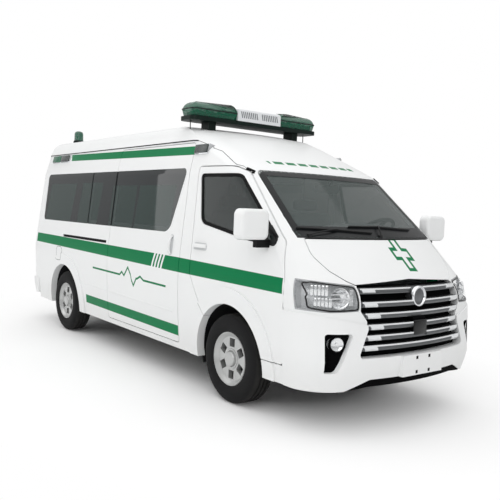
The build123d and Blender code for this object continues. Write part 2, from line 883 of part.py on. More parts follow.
def fuel_tank():
    """Tank between the left rail and the sill."""
    return block(-600, 350, RAIL_Y + RAIL_W / 2, HALF_WIDTH - WALL - 90, 300, FLOOR_BOTTOM)


def steering_axis(distance):
    """Point on the steering column, measured up from the wheel centre."""
    return (FRONT + 235 - 0.62 * distance, 400, 1270 + 0.785 * distance)


def dashboard():
    """Dashboard across the cab, bored for the steering column."""
    rows = [
        (FRONT + 285, 1010, 30),
        (FIREWALL_X, 1010, 0),
        (FIREWALL_X, 1250, 0),
        (FRONT + 400, 1268, 30),
        (FRONT + 300, 1222, 40),
    ]
    shelf = side_prism(outline(rows))
    body = pair(shelf) & envelope(WALL + CLEAR)
    return body - rod(steering_axis(0), steering_axis(-260), 20.3)


def steering_wheel():
    """Steering wheel with its column shaft."""
    axis = Plane(origin=steering_axis(0), z_dir=Vector(-0.62, 0, 0.785))
    wheel_rim = axis * Torus(185, 15)
    hub = axis * Cylinder(52, 40)
    spoke = axis * Box(366, 34, 16)
    return wheel_rim + hub + spoke + rod(steering_axis(0), steering_axis(-200), 20)


def front_seats():
    """Two front seats."""
    rows = [
        (FRONT - 475, SEAT_Z, 0),
        (FRONT + 5, SEAT_Z, 0),
        (FRONT + 20, 900, 30),
        (FRONT, 965, 30),
        (FRONT - 310, 930, 40),
        (FRONT - 425, 1540, 40),
        (FRONT - 520, 1540, 40),
        (FRONT - 475, 900, 40),
    ]
    return pair(side_prism(outline(rows)) & block(-LENGTH, LENGTH, -640, -160, 0, ROOF_Z))


def partition():
    """Wall between the cab and the patient compartment, with a window."""
    plate = block(SLIDE_FRONT + 50, SLIDE_FRONT + 75, -HALF_WIDTH, HALF_WIDTH, FLOOR_Z, ROOF_Z) & envelope(WALL)
    return plate - block(0, LENGTH, -420, 420, 1250, 1750)


def warning_light_bases():
    """Light-bar base on two feet, and the beacon base."""
    base = block(BAR_X - 115, BAR_X + 115, -BAR_HALF, BAR_HALF, BAR_Z, BAR_Z + 34)
    base = fillet(base.edges().filter_by(Axis.Z), 60)
    foot = block(BAR_X - 60, BAR_X + 60, -500, -430, BAR_Z - 120, BAR_Z)
    stand = rod((BEACON_X, BEACON_Y, ROOF_Z - 100), (BEACON_X, BEACON_Y, ROOF_Z + 22), 64)
    return base + pair(foot - envelope(0)) + (stand - envelope(0))


def warning_light_lenses():
    """Light-bar end lenses and the beacon dome."""
    lens = block(BAR_X - 110, BAR_X + 110, -BAR_HALF + 6, -242, BAR_Z + 34, BAR_Z + 158)
    lens = fillet(lens.edges().filter_by(Axis.Z).group_by(Axis.Y)[0], 70)
    lens = fillet(lens.faces().sort_by(Axis.Z)[-1].edges(), 30)
    dome = rod((BEACON_X, BEACON_Y, ROOF_Z + 22), (BEACON_X, BEACON_Y, ROOF_Z + 148), 54)
    dome = fillet(dome.edges().sort_by(Axis.Z)[-1], 30)
    return pair(lens) + dome


def light_bar_centre():
    """Speaker cover in the middle of the light bar."""
    cover = block(BAR_X - 118, BAR_X + 118, -240, 240, BAR_Z + 34, BAR_Z + 140)
    return fillet(cover.faces().sort_by(Axis.Z)[-1].edges(), 22)


def warning_lamps():
    """Flat warning lamps on the upper body sides."""
    lamps = Part()
    rows = [
        (FRONT - 660, FRONT - 440, 1850, 1920),
        (REAR - 680, REAR - 445, 1875, 1950),
        (REAR - 435, REAR - 200, 1875, 1950),
    ]
    for x0, x1, z0, z1 in rows:
        lamps += pair(skin(block(x0, x1, -HALF_WIDTH - PAD, 0, z0, z1), -PAD, 0))
    return lamps


def build():
    """All pieces by name."""
    door = front_door()
    glass = front_door_glass()
    mirror_right = door_mirror()
    knuckle_right = knuckle()
    fender_right = fender()
    pieces = {
        "floor_pan": floor_pan(),
        "chassis_frame": chassis_frame(),
        "side_frame_right": side_frame_right(),
        "side_frame_left": mirror(side_frame(), about=Plane.XZ),
        "high_roof": high_roof(),
        "cowl_panel": cowl_panel(),
        "fenders": pair(fender_right),
        "front_sills": front_sills(),
        "front_wheelhouses": front_wheelhouses(),
        "rear_wheelhouses": rear_wheelhouses(),
        "front_bumper": front_bumper(),
        "bumper_inserts": bumper_inserts(),
        "fog_lamps": fog_lamps(),
        "grille_backing": grille_backing(),
        "grille_bars": grille_bars(),
        "headlamp_housings": headlamp_housings(),
        "headlamp_lenses": headlamp_lenses(),
        "tail_lamps": tail_lamps(),
        "rear_bumper": rear_bumper(),
        "windscreen": windscreen(),
        "side_glass": side_glass(),
        "sliding_door": sliding_door(),
        "slide_rail": slide_rail(),
        "warning_light_bases": warning_light_bases(),
        "warning_light_lenses": warning_light_lenses(),
        "light_bar_centre": light_bar_centre(),
        "warning_lamps": warning_lamps(),
        "mudflaps": mudflaps(),
        "suspension_arms": suspension_arms(),
        "rear_axle": rear_axle(),
        "leaf_springs": leaf_springs(),
        "engine_block": engine_block(),
        "propshaft": propshaft(),
        "exhaust": exhaust(),
        "fuel_tank": fuel_tank(),
        "dashboard": dashboard(),
        "front_seats": front_seats(),
        "partition": partition(),
        "hood": hood(),
        "door_right": door,
        "door_left": mirror(door, about=Plane.XZ),
        "door_glass_right": glass,
        "door_glass_left": mirror(glass, about=Plane.XZ),
        "mirror_right": mirror_right,
        "mirror_left": mirror(mirror_right, about=Plane.XZ),
        "tailgate": tailgate(),
        "tailgate_glass": tailgate_glass(),
        "knuckle_right": knuckle_right,
        "knuckle_left": mirror(knuckle_right, about=Plane.XZ),
        "steering_wheel": steering_wheel(),
    }
    for axle_x, end in ((FRONT, "front"), (REAR, "rear")):
        disc = wheel(axle_x)
        ring = tyre(axle_x)
        pieces["wheel_" + end + "_right"] = disc
        pieces["wheel_" + end + "_left"] = mirror(disc, about=Plane.XZ)
        pieces["tyre_" + end + "_right"] = ring
        pieces["tyre_" + end + "_left"] = mirror(ring, about=Plane.XZ)
    return pieces


os.makedirs("parts", exist_ok=True)
for name, piece in build().items():
    export_step(Compound(children=piece.solids(), label=name), "parts/" + name + ".step")
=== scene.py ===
"""High-roof van ambulance: finishes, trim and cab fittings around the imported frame."""

from __future__ import annotations

import json
import logging
import math
from dataclasses import dataclass
from enum import Enum

import bmesh
import bpy
from mathutils import Matrix, Vector
from mathutils.bvhtree import BVHTree

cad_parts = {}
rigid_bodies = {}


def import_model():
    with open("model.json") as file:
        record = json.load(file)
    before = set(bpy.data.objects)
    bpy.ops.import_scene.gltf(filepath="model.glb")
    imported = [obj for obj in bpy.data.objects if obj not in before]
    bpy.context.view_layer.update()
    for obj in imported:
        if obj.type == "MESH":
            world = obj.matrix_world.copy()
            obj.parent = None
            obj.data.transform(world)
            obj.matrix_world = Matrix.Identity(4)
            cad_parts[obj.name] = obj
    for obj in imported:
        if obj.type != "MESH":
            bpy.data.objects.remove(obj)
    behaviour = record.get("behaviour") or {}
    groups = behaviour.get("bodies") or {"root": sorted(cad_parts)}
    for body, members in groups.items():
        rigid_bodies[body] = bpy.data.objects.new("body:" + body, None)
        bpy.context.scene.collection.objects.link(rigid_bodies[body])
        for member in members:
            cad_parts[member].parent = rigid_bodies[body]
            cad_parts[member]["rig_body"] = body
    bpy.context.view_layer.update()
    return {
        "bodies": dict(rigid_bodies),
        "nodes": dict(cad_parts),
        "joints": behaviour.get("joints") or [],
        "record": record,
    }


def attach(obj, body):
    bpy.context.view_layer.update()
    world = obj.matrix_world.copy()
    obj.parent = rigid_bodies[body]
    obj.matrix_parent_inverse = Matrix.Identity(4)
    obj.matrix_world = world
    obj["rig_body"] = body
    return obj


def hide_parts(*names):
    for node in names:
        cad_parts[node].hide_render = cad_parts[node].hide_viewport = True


LOG = logging.getLogger("ambulance")
PHOTO_SIZE = 500
FRONT_AXLE = 1.555
REAR_AXLE = -1.555
TYRE_R = 0.327
TRACK_HALF = 0.725
EDGE_BLUR = 0.0008
SMOOTH_ANGLE = 35.0
PANEL_ANGLE = 28.0
BEVEL_ANGLE = 50.0
WELD_GAP = 2e-5
UPWARDS = (0.0, 0.0, 1.0)

Row = tuple[float, ...]
Rows = tuple[Row, ...]


class Side(Enum):
    """Side of the vehicle, as the sign of its Y coordinate."""

    RIGHT = -1.0
    LEFT = 1.0

    @property
    def tag(self) -> str:
        """Lower-case name used in piece names."""
        return self.name.lower()


class Mark(Enum):
    """Marks that a painted panel carries."""

    NONE = "none"
    SIDES = "sides"
    HOOD = "hood"
    ROOF = "roof"
    BUMPER = "bumper"
    MIRROR = "mirror"


class Value:
    """A shader number that takes part in Python arithmetic."""

    def __init__(self, graph: "Nodes", socket: bpy.types.NodeSocket) -> None:
        """Keep the graph and the socket that gives the number."""
        self.graph = graph
        self.socket = socket

    def _math(self, operation: str, *others: object) -> "Value":
        """Add one Math node.

        Args:
            operation: Name of the Math operation.
            others: Further operands, numbers or values.

        Returns:
            The result as a value.
        """
        inputs = dict(enumerate((self, *others)))
        made = self.graph.node("ShaderNodeMath", {"operation": operation}, inputs)
        return Value(self.graph, made.outputs[0])

    def __add__(self, other: object) -> "Value":
        """Sum."""
        return self._math("ADD", other)

    __radd__ = __add__

    def __sub__(self, other: object) -> "Value":
        """Difference."""
        return self._math("SUBTRACT", other)

    def __rsub__(self, other: float) -> "Value":
        """Difference from a number."""
        return (self * -1.0) + other

    def __mul__(self, other: object) -> "Value":
        """Product."""
        return self._math("MULTIPLY", other)

    __rmul__ = __mul__

    def __truediv__(self, other: object) -> "Value":
        """Quotient."""
        return self._math("DIVIDE", other)

    def __abs__(self) -> "Value":
        """Size without sign."""
        return self._math("ABSOLUTE")

    def low(self, other: object) -> "Value":
        """Smaller of two."""
        return self._math("MINIMUM", other)

    def high(self, other: object) -> "Value":
        """Larger of two."""
        return self._math("MAXIMUM", other)

    def above(self, limit: object, blur: float = EDGE_BLUR) -> "Value":
        """Mask that rises from 0 to 1 as the value passes a limit.

        Args:
            limit: Number or value at the middle of the rise.
            blur: Half width of the rise.

        Returns:
            Mask from 0 to 1.
        """
        made = self.graph.node(
            "ShaderNodeMapRange",
            {"clamp": True},
            {0: self - limit, 1: -blur, 2: blur, 3: 0.0, 4: 1.0},
        )
        return Value(self.graph, made.outputs[0])

    def below(self, limit: object, blur: float = EDGE_BLUR) -> "Value":
        """Mask that falls from 1 to 0 as the value passes a limit."""
        return 1.0 - self.above(limit, blur)

    def between(self, low: object, high: object, blur: float = EDGE_BLUR) -> "Value":
        """Mask of a band between two limits."""
        return self.above(low, blur) * self.below(high, blur)

    def root(self) -> "Value":
        """Square root."""
        return self._math("SQRT")

    def wave(self, period: float) -> "Value":
        """Fraction within a repeating period, from 0 to 1."""
        return (self / period)._math("FRACT")


class Nodes:
    """A node tree that gains its nodes through one method."""

    def __init__(self, tree: bpy.types.NodeTree) -> None:
        """Empty the tree."""
        self.tree = tree
        tree.nodes.clear()

    def put(self, socket: bpy.types.NodeSocket, value: object) -> None:
        """Set or link one input.

        Args:
            socket: Input socket.
            value: Value, socket or plain default.
        """
        if isinstance(value, Value):
            self.tree.links.new(value.socket, socket)
        elif isinstance(value, bpy.types.NodeSocket):
            self.tree.links.new(value, socket)
        else:
            socket.default_value = value

    def node(self, kind: str, settings: dict | None = None, inputs: dict | None = None) -> bpy.types.Node:
        """Add one node.

        Args:
            kind: Node type name.
            settings: Node settings, set before the inputs.
            inputs: Values or links by socket name or number.

        Returns:
            The new node.
        """
        made = self.tree.nodes.new(kind)
        for key, value in (settings or {}).items():
            setattr(made, key, value)
        for key, value in (inputs or {}).items():
            self.put(made.inputs[key], value)
        return made


class Graph(Nodes):
    """Node tree of one material."""

    def __init__(self, name: str) -> None:
        """Start an empty tree with a Principled shader.

        Args:
            name: Material name.
        """
        self.material = bpy.data.materials.new(name)
        self.material.use_nodes = True
        super().__init__(self.material.node_tree)
        self.output = self.node("ShaderNodeOutputMaterial")
        self.shader = self.node("ShaderNodeBsdfPrincipled")
        self.tree.links.new(self.shader.outputs[0], self.output.inputs[0])
        self._axes: list[Value] = []
        self._object: bpy.types.NodeSocket | None = None

    @property
    def place(self) -> bpy.types.NodeSocket:
        """Object coordinates.

        Returns:
            Socket of the coordinates.
        """
        if self._object is None:
            self._object = self.node("ShaderNodeTexCoord").outputs["Object"]
        return self._object

    @property
    def axes(self) -> list[Value]:
        """Object coordinates as three numbers.

        Returns:
            The three values.
        """
        if not self._axes:
            split = self.node("ShaderNodeSeparateXYZ", None, {0: self.place})
            self._axes = [Value(self, out) for out in split.outputs]
        return self._axes

    def noise(self, scale: float, detail: float = 4.0, stretch: tuple = (1.0, 1.0, 1.0)) -> Value:
        """Noise on the object's own coordinates.

        Args:
            scale: Noise scale per metre.
            detail: Octaves.
            stretch: Scale of each axis.

        Returns:
            Noise from 0 to 1.
        """
        mapped = self.node("ShaderNodeMapping", None, {"Vector": self.place, "Scale": stretch})
        made = self.node(
            "ShaderNodeTexNoise", None, {"Vector": mapped.outputs[0], "Scale": scale, "Detail": detail}
        )
        return Value(self, made.outputs[0])

    def mix(self, mask: object, first: object, second: object) -> bpy.types.NodeSocket:
        """Blend two colours by a mask."""
        made = self.node("ShaderNodeMix", {"data_type": "RGBA"}, {0: mask, 6: first, 7: second})
        return made.outputs[2]

    def bump(self, height: Value, distance: float, strength: float = 1.0) -> None:
        """Feed a height into the shader's normal.

        Args:
            height: Height from 0 to 1.
            distance: Height in metres that 1 stands for.
            strength: Share of the effect.
        """
        made = self.node(
            "ShaderNodeBump", None, {"Height": height, "Distance": distance, "Strength": strength}
        )
        self.put(self.shader.inputs["Normal"], made.outputs[0])

    def surface(self, **sockets: object) -> None:
        """Set shader inputs by name, with underscores for spaces."""
        for key, value in sockets.items():
            self.put(self.shader.inputs[key.replace("_", " ")], value)


def rgb(red: float, green: float, blue: float) -> tuple[float, float, float, float]:
    """Linear colour from display values of 0 to 255.

    Args:
        red: Red channel.
        green: Green channel.
        blue: Blue channel.

    Returns:
        Linear colour with full alpha.
    """

    def linear(part: float) -> float:
        """One display channel made linear."""
        part /= 255.0
        return part / 12.92 if part <= 0.04045 else ((part + 0.055) / 1.055) ** 2.4

    return (linear(red), linear(green), linear(blue), 1.0)


GREEN = rgb(0, 118, 70)
WHITE = rgb(236, 237, 237)


@dataclass(frozen=True)
class PlainFinish:
    """A moulded, cast or painted surface with fine grain and soft colour drift."""

    name: str
    colour: tuple[float, float, float, float]
    roughness: float = 0.4
    metallic: float = 0.0
    grain: float = 600.0
    depth: float = 0.0
    drift: float = 0.12
    coat: float = 0.0
    specular: float = 0.5

    def build(self) -> bpy.types.Material:
        """Make the material.

        Returns:
            The new material.
        """
        graph = Graph(self.name)
        cloud = graph.noise(6.0, 5.0)
        fine = graph.noise(self.grain, 2.0)
        darker = tuple(c * (1.0 - self.drift) for c in self.colour[:3]) + (1.0,)
        graph.surface(
            Base_Color=graph.mix(cloud, darker, self.colour),
            Roughness=(cloud - 0.5) * 0.12 + (fine - 0.5) * 0.06 + self.roughness,
            Metallic=self.metallic,
            Coat_Weight=self.coat,
            Coat_Roughness=0.04,
            Specular_IOR_Level=self.specular,
        )
        if self.depth:
            graph.bump(fine, self.depth)
        return graph.material


@dataclass(frozen=True)
class StripedPaint:
    """White body paint with the green side stripes, worked out on the frame's own coordinates."""

    name: str = "white_body_paint"
    marks: Mark = Mark.SIDES

    def _stripes(self, graph: Graph) -> Value:
        """Mask of every green mark.

        Args:
            graph: Graph of the paint.

        Returns:
            Mask from 0 to 1.
        """
        x, y, z = graph.axes
        side = abs(y).above(0.6, 0.01)
        top = ((x + 2.33) * -0.0088 + 1.040).low((x - 0.852) * -0.0191 + 1.012)
        bottom = ((x + 2.33) * -0.0135 + 0.936).high((x - 0.852) * -0.0069 + 0.893)
        belt = z.between(bottom, top) * x.between(-2.42, 2.156)
        slant = x - (z - 0.95) * 0.35
        bars = (slant - 0.43).wave(0.052).below(0.5, 0.02) * slant.between(0.43, 0.612)
        belt = belt * (1.0 - bars)
        lean = x + (z - 1.90) * 0.5
        upper_top = (x + 1.744) * -0.0145 + 1.954
        upper = z.between(upper_top - 0.071, upper_top) * lean.between(-1.71, 0.90)
        lower_top = (x + 0.978) * -0.0098 + 0.473
        lower = z.between(lower_top - 0.084, lower_top) * x.between(-0.978, 0.859)
        return (belt.high(upper).high(lower).high(self._pulse(x, z))) * side

    def _pulse(self, x: Value, z: Value) -> Value:
        """Plain pulse line between the stripes.

        Args:
            x: Length coordinate.
            z: Height coordinate.

        Returns:
            Mask from 0 to 1.
        """
        middle = (x * -0.012) + 0.762
        peaks = (
            (-0.02, 0.075, 0.085), (0.09, 0.055, -0.070), (-0.14, 0.045, 0.030), (0.22, 0.06, 0.028),
        )
        for place, half, rise in peaks:
            middle = middle + (1.0 - abs(x - place) / half).high(0.0) * rise
        line = 0.009
        steep = line
        for place, half, rise in peaks:
            extra = line * (math.hypot(1.0, abs(rise) / half) - 1.0)
            steep = abs(x - place).below(half, 0.001) * extra + steep
        return abs(z - middle).below(steep, 0.0006) * x.between(-0.79, 0.67)

    @staticmethod
    def _cross(graph: Graph) -> Value:
        """Mask of the plain outlined cross on the hood.

        Args:
            graph: Graph of the paint.

        Returns:
            Mask from 0 to 1.
        """
        x, y, _ = graph.axes
        along = abs(x - 2.325)
        across = abs(y - 0.120)

        def plus(length: float, width: float, half: float) -> Value:
            """Mask of one filled cross."""
            upright = along.below(length) * across.below(half)
            return upright.high(across.below(width) * along.below(half))

        return plus(0.118, 0.100, 0.044) * (1.0 - plus(0.096, 0.076, 0.020))

    @staticmethod
    def _dashes(graph: Graph) -> Value:
        """Mask of the plain broken line on the header.

        Args:
            graph: Graph of the paint.

        Returns:
            Mask from 0 to 1.
        """
        x, y, z = graph.axes
        slant = y - z * 0.35
        band = z.between(1.775, 1.797) * abs(y).below(0.46) * x.above(1.25)
        return band * slant.wave(0.115).below(0.74, 0.01)

    def build(self) -> bpy.types.Material:
        """Make the material.

        Returns:
            The new material.
        """
        graph = Graph(self.name)
        cloud = graph.noise(3.0, 3.0)
        dust = graph.noise(2.2, 6.0, (1.0, 1.0, 2.2))
        z = graph.axes[2]
        shade = tuple(c * 0.972 for c in WHITE[:3]) + (1.0,)
        white = graph.mix(cloud, shade, WHITE)
        grime = z.below(0.42, 0.14) * dust * 0.22
        white = graph.mix(grime, white, rgb(196, 194, 188))
        if self.marks is Mark.SIDES:
            white = graph.mix(self._stripes(graph), white, GREEN)
        elif self.marks is Mark.HOOD:
            white = graph.mix(self._cross(graph), white, GREEN)
        elif self.marks is Mark.ROOF:
            white = graph.mix(self._dashes(graph), white, GREEN)
        elif self.marks is Mark.BUMPER:
            x, y, _ = graph.axes
            # Four small near-black spots on the bumper: painted shade inside its holes.
            hole_shade = abs(abs(z - 0.439) - 0.048).below(0.011) * abs(abs(y) - 0.064).below(0.011)
            white = graph.mix(hole_shade * x.above(2.60), white, rgb(14, 14, 15))
        elif self.marks is Mark.MIRROR:
            white = graph.mix(z.below(1.2255), white, rgb(22, 23, 24))
        peel = graph.noise(140.0, 1.0)
        graph.surface(
            Base_Color=white,
            Roughness=(cloud - 0.5) * 0.05 + grime * 0.8 + 0.30,
            Coat_Weight=0.05,
            Coat_Roughness=0.05,
            Specular_IOR_Level=0.08,
        )
        graph.bump(peel, 0.00006)
        return graph.material


@dataclass(frozen=True)
class GlassFinish:
    """Tinted safety glass with a dark printed border where the panes are bonded."""

    name: str
    colour: tuple[float, float, float, float]
    alpha: float
    panes: tuple[tuple[float, float, float, float, float], ...] = ()
    border: tuple[float, float, float, float] = rgb(38, 42, 44)
    border_alpha: float = 1.0

    def build(self) -> bpy.types.Material:
        """Make the material.

        Returns:
            The new material.
        """
        graph = Graph(self.name)
        x, _, z = graph.axes
        clear: object = 1.0
        if self.panes:
            clear = x * 0.0
            for x0, x1, z0, z1, lean in self.panes:
                skew = x - (z - (z0 + z1) / 2.0) * lean
                clear = clear.high(skew.between(x0, x1, 0.006) * z.between(z0, z1, 0.006))
        cloud = graph.noise(2.4, 2.0)
        tint = graph.mix(cloud, self.colour, tuple(c * 1.12 for c in self.colour[:3]) + (1.0,))
        if isinstance(clear, Value):
            base = graph.mix(clear, self.border, tint)
            alpha = clear * (self.alpha - self.border_alpha) + self.border_alpha
        else:
            base = tint
            alpha = (cloud - 0.5) * 0.02 + self.alpha
        graph.surface(
            Base_Color=base,
            Alpha=alpha,
            Roughness=(cloud - 0.5) * 0.02 + 0.03,
            Coat_Weight=0.35,
            Coat_Roughness=0.01,
            Specular_IOR_Level=0.3,
        )
        return graph.material


@dataclass(frozen=True)
class LensFinish:
    """Moulded lamp lens with fine vertical flutes."""

    name: str
    colour: tuple[float, float, float, float]
    alpha: float = 0.8
    flute: float = 0.012
    depth: float = 0.0006
    second: tuple[float, float, float, float] | None = None
    split: float = 0.0

    def build(self) -> bpy.types.Material:
        """Make the material.

        Returns:
            The new material.
        """
        graph = Graph(self.name)
        x, y, _ = graph.axes
        cloud = graph.noise(14.0, 2.0)
        flutes = abs((x + y).wave(self.flute) - 0.5)
        deep = tuple(c * 0.88 for c in self.colour[:3]) + (1.0,)
        tint = graph.mix(cloud, deep, self.colour)
        if self.second:
            tint = graph.mix(x.below(self.split), tint, self.second)
        graph.surface(
            Base_Color=tint,
            Alpha=(cloud - 0.5) * 0.06 + self.alpha,
            Roughness=(cloud - 0.5) * 0.05 + 0.08,
            Coat_Weight=0.4,
            Coat_Roughness=0.02,
            Specular_IOR_Level=0.3,
        )
        graph.bump(flutes, self.depth)
        return graph.material


@dataclass(frozen=True)
class WovenFinish:
    """Woven seat cloth with a fine diagonal weave."""

    name: str
    colour: tuple[float, float, float, float]
    pitch: float = 0.004

    def build(self) -> bpy.types.Material:
        """Make the material.

        Returns:
            The new material.
        """
        graph = Graph(self.name)
        x, y, z = graph.axes
        warp = abs((x + y + z).wave(self.pitch) - 0.5)
        weft = abs((x - y + z).wave(self.pitch) - 0.5)
        cloth = warp * weft * 4.0
        cloud = graph.noise(9.0, 4.0)
        light = tuple(min(1.0, c * 1.5) for c in self.colour[:3]) + (1.0,)
        graph.surface(
            Base_Color=graph.mix(cloth * 0.6 + cloud * 0.3, self.colour, light),
            Roughness=cloth * 0.1 + 0.82,
            Sheen_Weight=0.3,
        )
        graph.bump(cloth, 0.0006)
        return graph.material


@dataclass(frozen=True)
class TyreFinish:
    """Tyre rubber with sidewall rings and a dusty tread."""

    name: str = "tyre_rubber"

    def build(self) -> bpy.types.Material:
        """Make the material.

        Returns:
            The new material.
        """
        graph = Graph(self.name)
        x, _, z = graph.axes
        off_front = (x - FRONT_AXLE) * (x - FRONT_AXLE)
        off_rear = (x - REAR_AXLE) * (x - REAR_AXLE)
        radius = (off_front.low(off_rear) + (z - TYRE_R) * (z - TYRE_R)).root()
        rings = abs(radius.wave(0.0085) - 0.5) * radius.between(0.222, 0.285, 0.004)
        cloud = graph.noise(18.0, 5.0)
        dusty = radius.above(0.316, 0.006) * cloud
        rubber = graph.mix(cloud, rgb(14, 14, 15), rgb(24, 24, 25))
        graph.surface(
            Base_Color=graph.mix(dusty * 0.5, rubber, rgb(62, 60, 57)),
            Roughness=cloud * 0.12 + 0.66,
            Specular_IOR_Level=0.2,
        )
        graph.bump(rings + cloud * 0.25, 0.0012)
        return graph.material


class Finishes:
    """All the materials, made once and found by name."""

    def __init__(self) -> None:
        """Build every finish."""
        side_panes = (
            (-2.20, -1.46, 1.165, 1.625, 0.18),
            (-1.28, -0.78, 1.175, 1.630, 0.14),
            (-0.52, -0.02, 1.190, 1.600, 0.04),
            (0.02, 0.66, 1.190, 1.600, 0.10),
        )
        made = [
            StripedPaint(),
            StripedPaint("plain_white_paint", Mark.NONE),
            StripedPaint("hood_paint", Mark.HOOD),
            StripedPaint("roof_paint", Mark.ROOF),
            StripedPaint("mirror_paint", Mark.MIRROR),
            StripedPaint("bumper_paint", Mark.BUMPER),
            # A darker white for the flat plates behind the handles: painted shade of their recesses.
            PlainFinish("shaded_white", rgb(208, 210, 211), 0.4, drift=0.08),
            # Grey for the sound slots of the light bar: painted shade inside the slots.
            PlainFinish("shaded_grey", rgb(96, 100, 104), 0.5, drift=0.2),
            PlainFinish("light_base", rgb(7, 26, 21), 0.45, drift=0.3, specular=0.2),
            PlainFinish("lamp_tray", rgb(186, 188, 190), 0.25, 0.4, drift=0.2),
            PlainFinish("frit_print", rgb(20, 22, 24), 0.3, drift=0.2, specular=0.2),
            PlainFinish("black_moulding", rgb(20, 21, 22), 0.5, depth=0.00012, grain=900.0, specular=0.3),
            PlainFinish("gloss_black", rgb(9, 10, 11), 0.2, coat=0.15, specular=0.3),
            PlainFinish("seam_sealer", rgb(18, 18, 19), 0.75, drift=0.3, specular=0.15),
            PlainFinish("underbody_steel", rgb(40, 41, 42), 0.7, 0.2, 240.0, 0.0004, 0.3, specular=0.2),
            PlainFinish("exhaust_metal", rgb(140, 134, 124), 0.42, 0.9, 300.0, 0.0002, 0.35),
            PlainFinish("bright_chrome", rgb(226, 228, 230), 0.07, 1.0, 300.0, 0.0, 0.04),
            PlainFinish("satin_grille", rgb(112, 114, 116), 0.3, 0.8, 300.0, 0.0, 0.08, specular=0.3),
            # Near-white, lightly metallic chrome: real bright trim with its highlight painted in as colour,
            # for the grille bar rims and ends.
            PlainFinish("facet_chrome", rgb(242, 244, 245), 0.2, 0.3, 300.0, 0.0, 0.04),
            PlainFinish("grille_black", rgb(5, 5, 6), 0.8, drift=0.3, specular=0.05),
            PlainFinish("lamp_reflector", rgb(232, 233, 234), 0.10, 0.95, 200.0, 0.0003, 0.06),
            PlainFinish("wheel_silver", rgb(186, 187, 186), 0.30, 0.55, 500.0, 0.00005, 0.06, 0.4),
            PlainFinish("steel_rim", rgb(52, 53, 54), 0.5, 0.6, 300.0, 0.0001, 0.25),
            PlainFinish("white_moulding", rgb(226, 228, 230), 0.32, depth=0.00005),
            PlainFinish("dash_moulding", rgb(58, 60, 62), 0.62, depth=0.0003, grain=500.0),
            PlainFinish("cab_trim", rgb(150, 150, 146), 0.6, depth=0.0003, grain=400.0),
            PlainFinish("floor_lining", rgb(104, 108, 110), 0.55, depth=0.0004, grain=350.0),
            PlainFinish("mirror_silver", rgb(214, 218, 222), 0.03, 1.0, 200.0, 0.0, 0.03),
            GlassFinish("windscreen_glass", rgb(78, 90, 88), 0.36),
            GlassFinish("door_drop_glass", rgb(30, 39, 38), 0.66),
            GlassFinish("bonded_side_glass", rgb(40, 56, 53), 0.86, side_panes, rgb(26, 31, 33)),
            GlassFinish("tailgate_bonded_glass", rgb(48, 60, 58), 0.86),
            GlassFinish("lamp_clear_lens", rgb(236, 240, 242), 0.10),
            LensFinish("green_lens", rgb(0, 92, 66), 0.76),
            LensFinish("red_lens", rgb(168, 14, 22), 0.93),
            LensFinish("side_lamp_lens", rgb(58, 64, 63), 0.95, 0.010, 0.0008, rgb(0, 96, 64), -1.995),
            WovenFinish("seat_cloth", rgb(64, 66, 70)),
            TyreFinish(),
        ]
        self._made = {finish.name: finish.build() for finish in made}

    def __getitem__(self, name: str) -> bpy.types.Material:
        """Material by name."""
        return self._made[name]


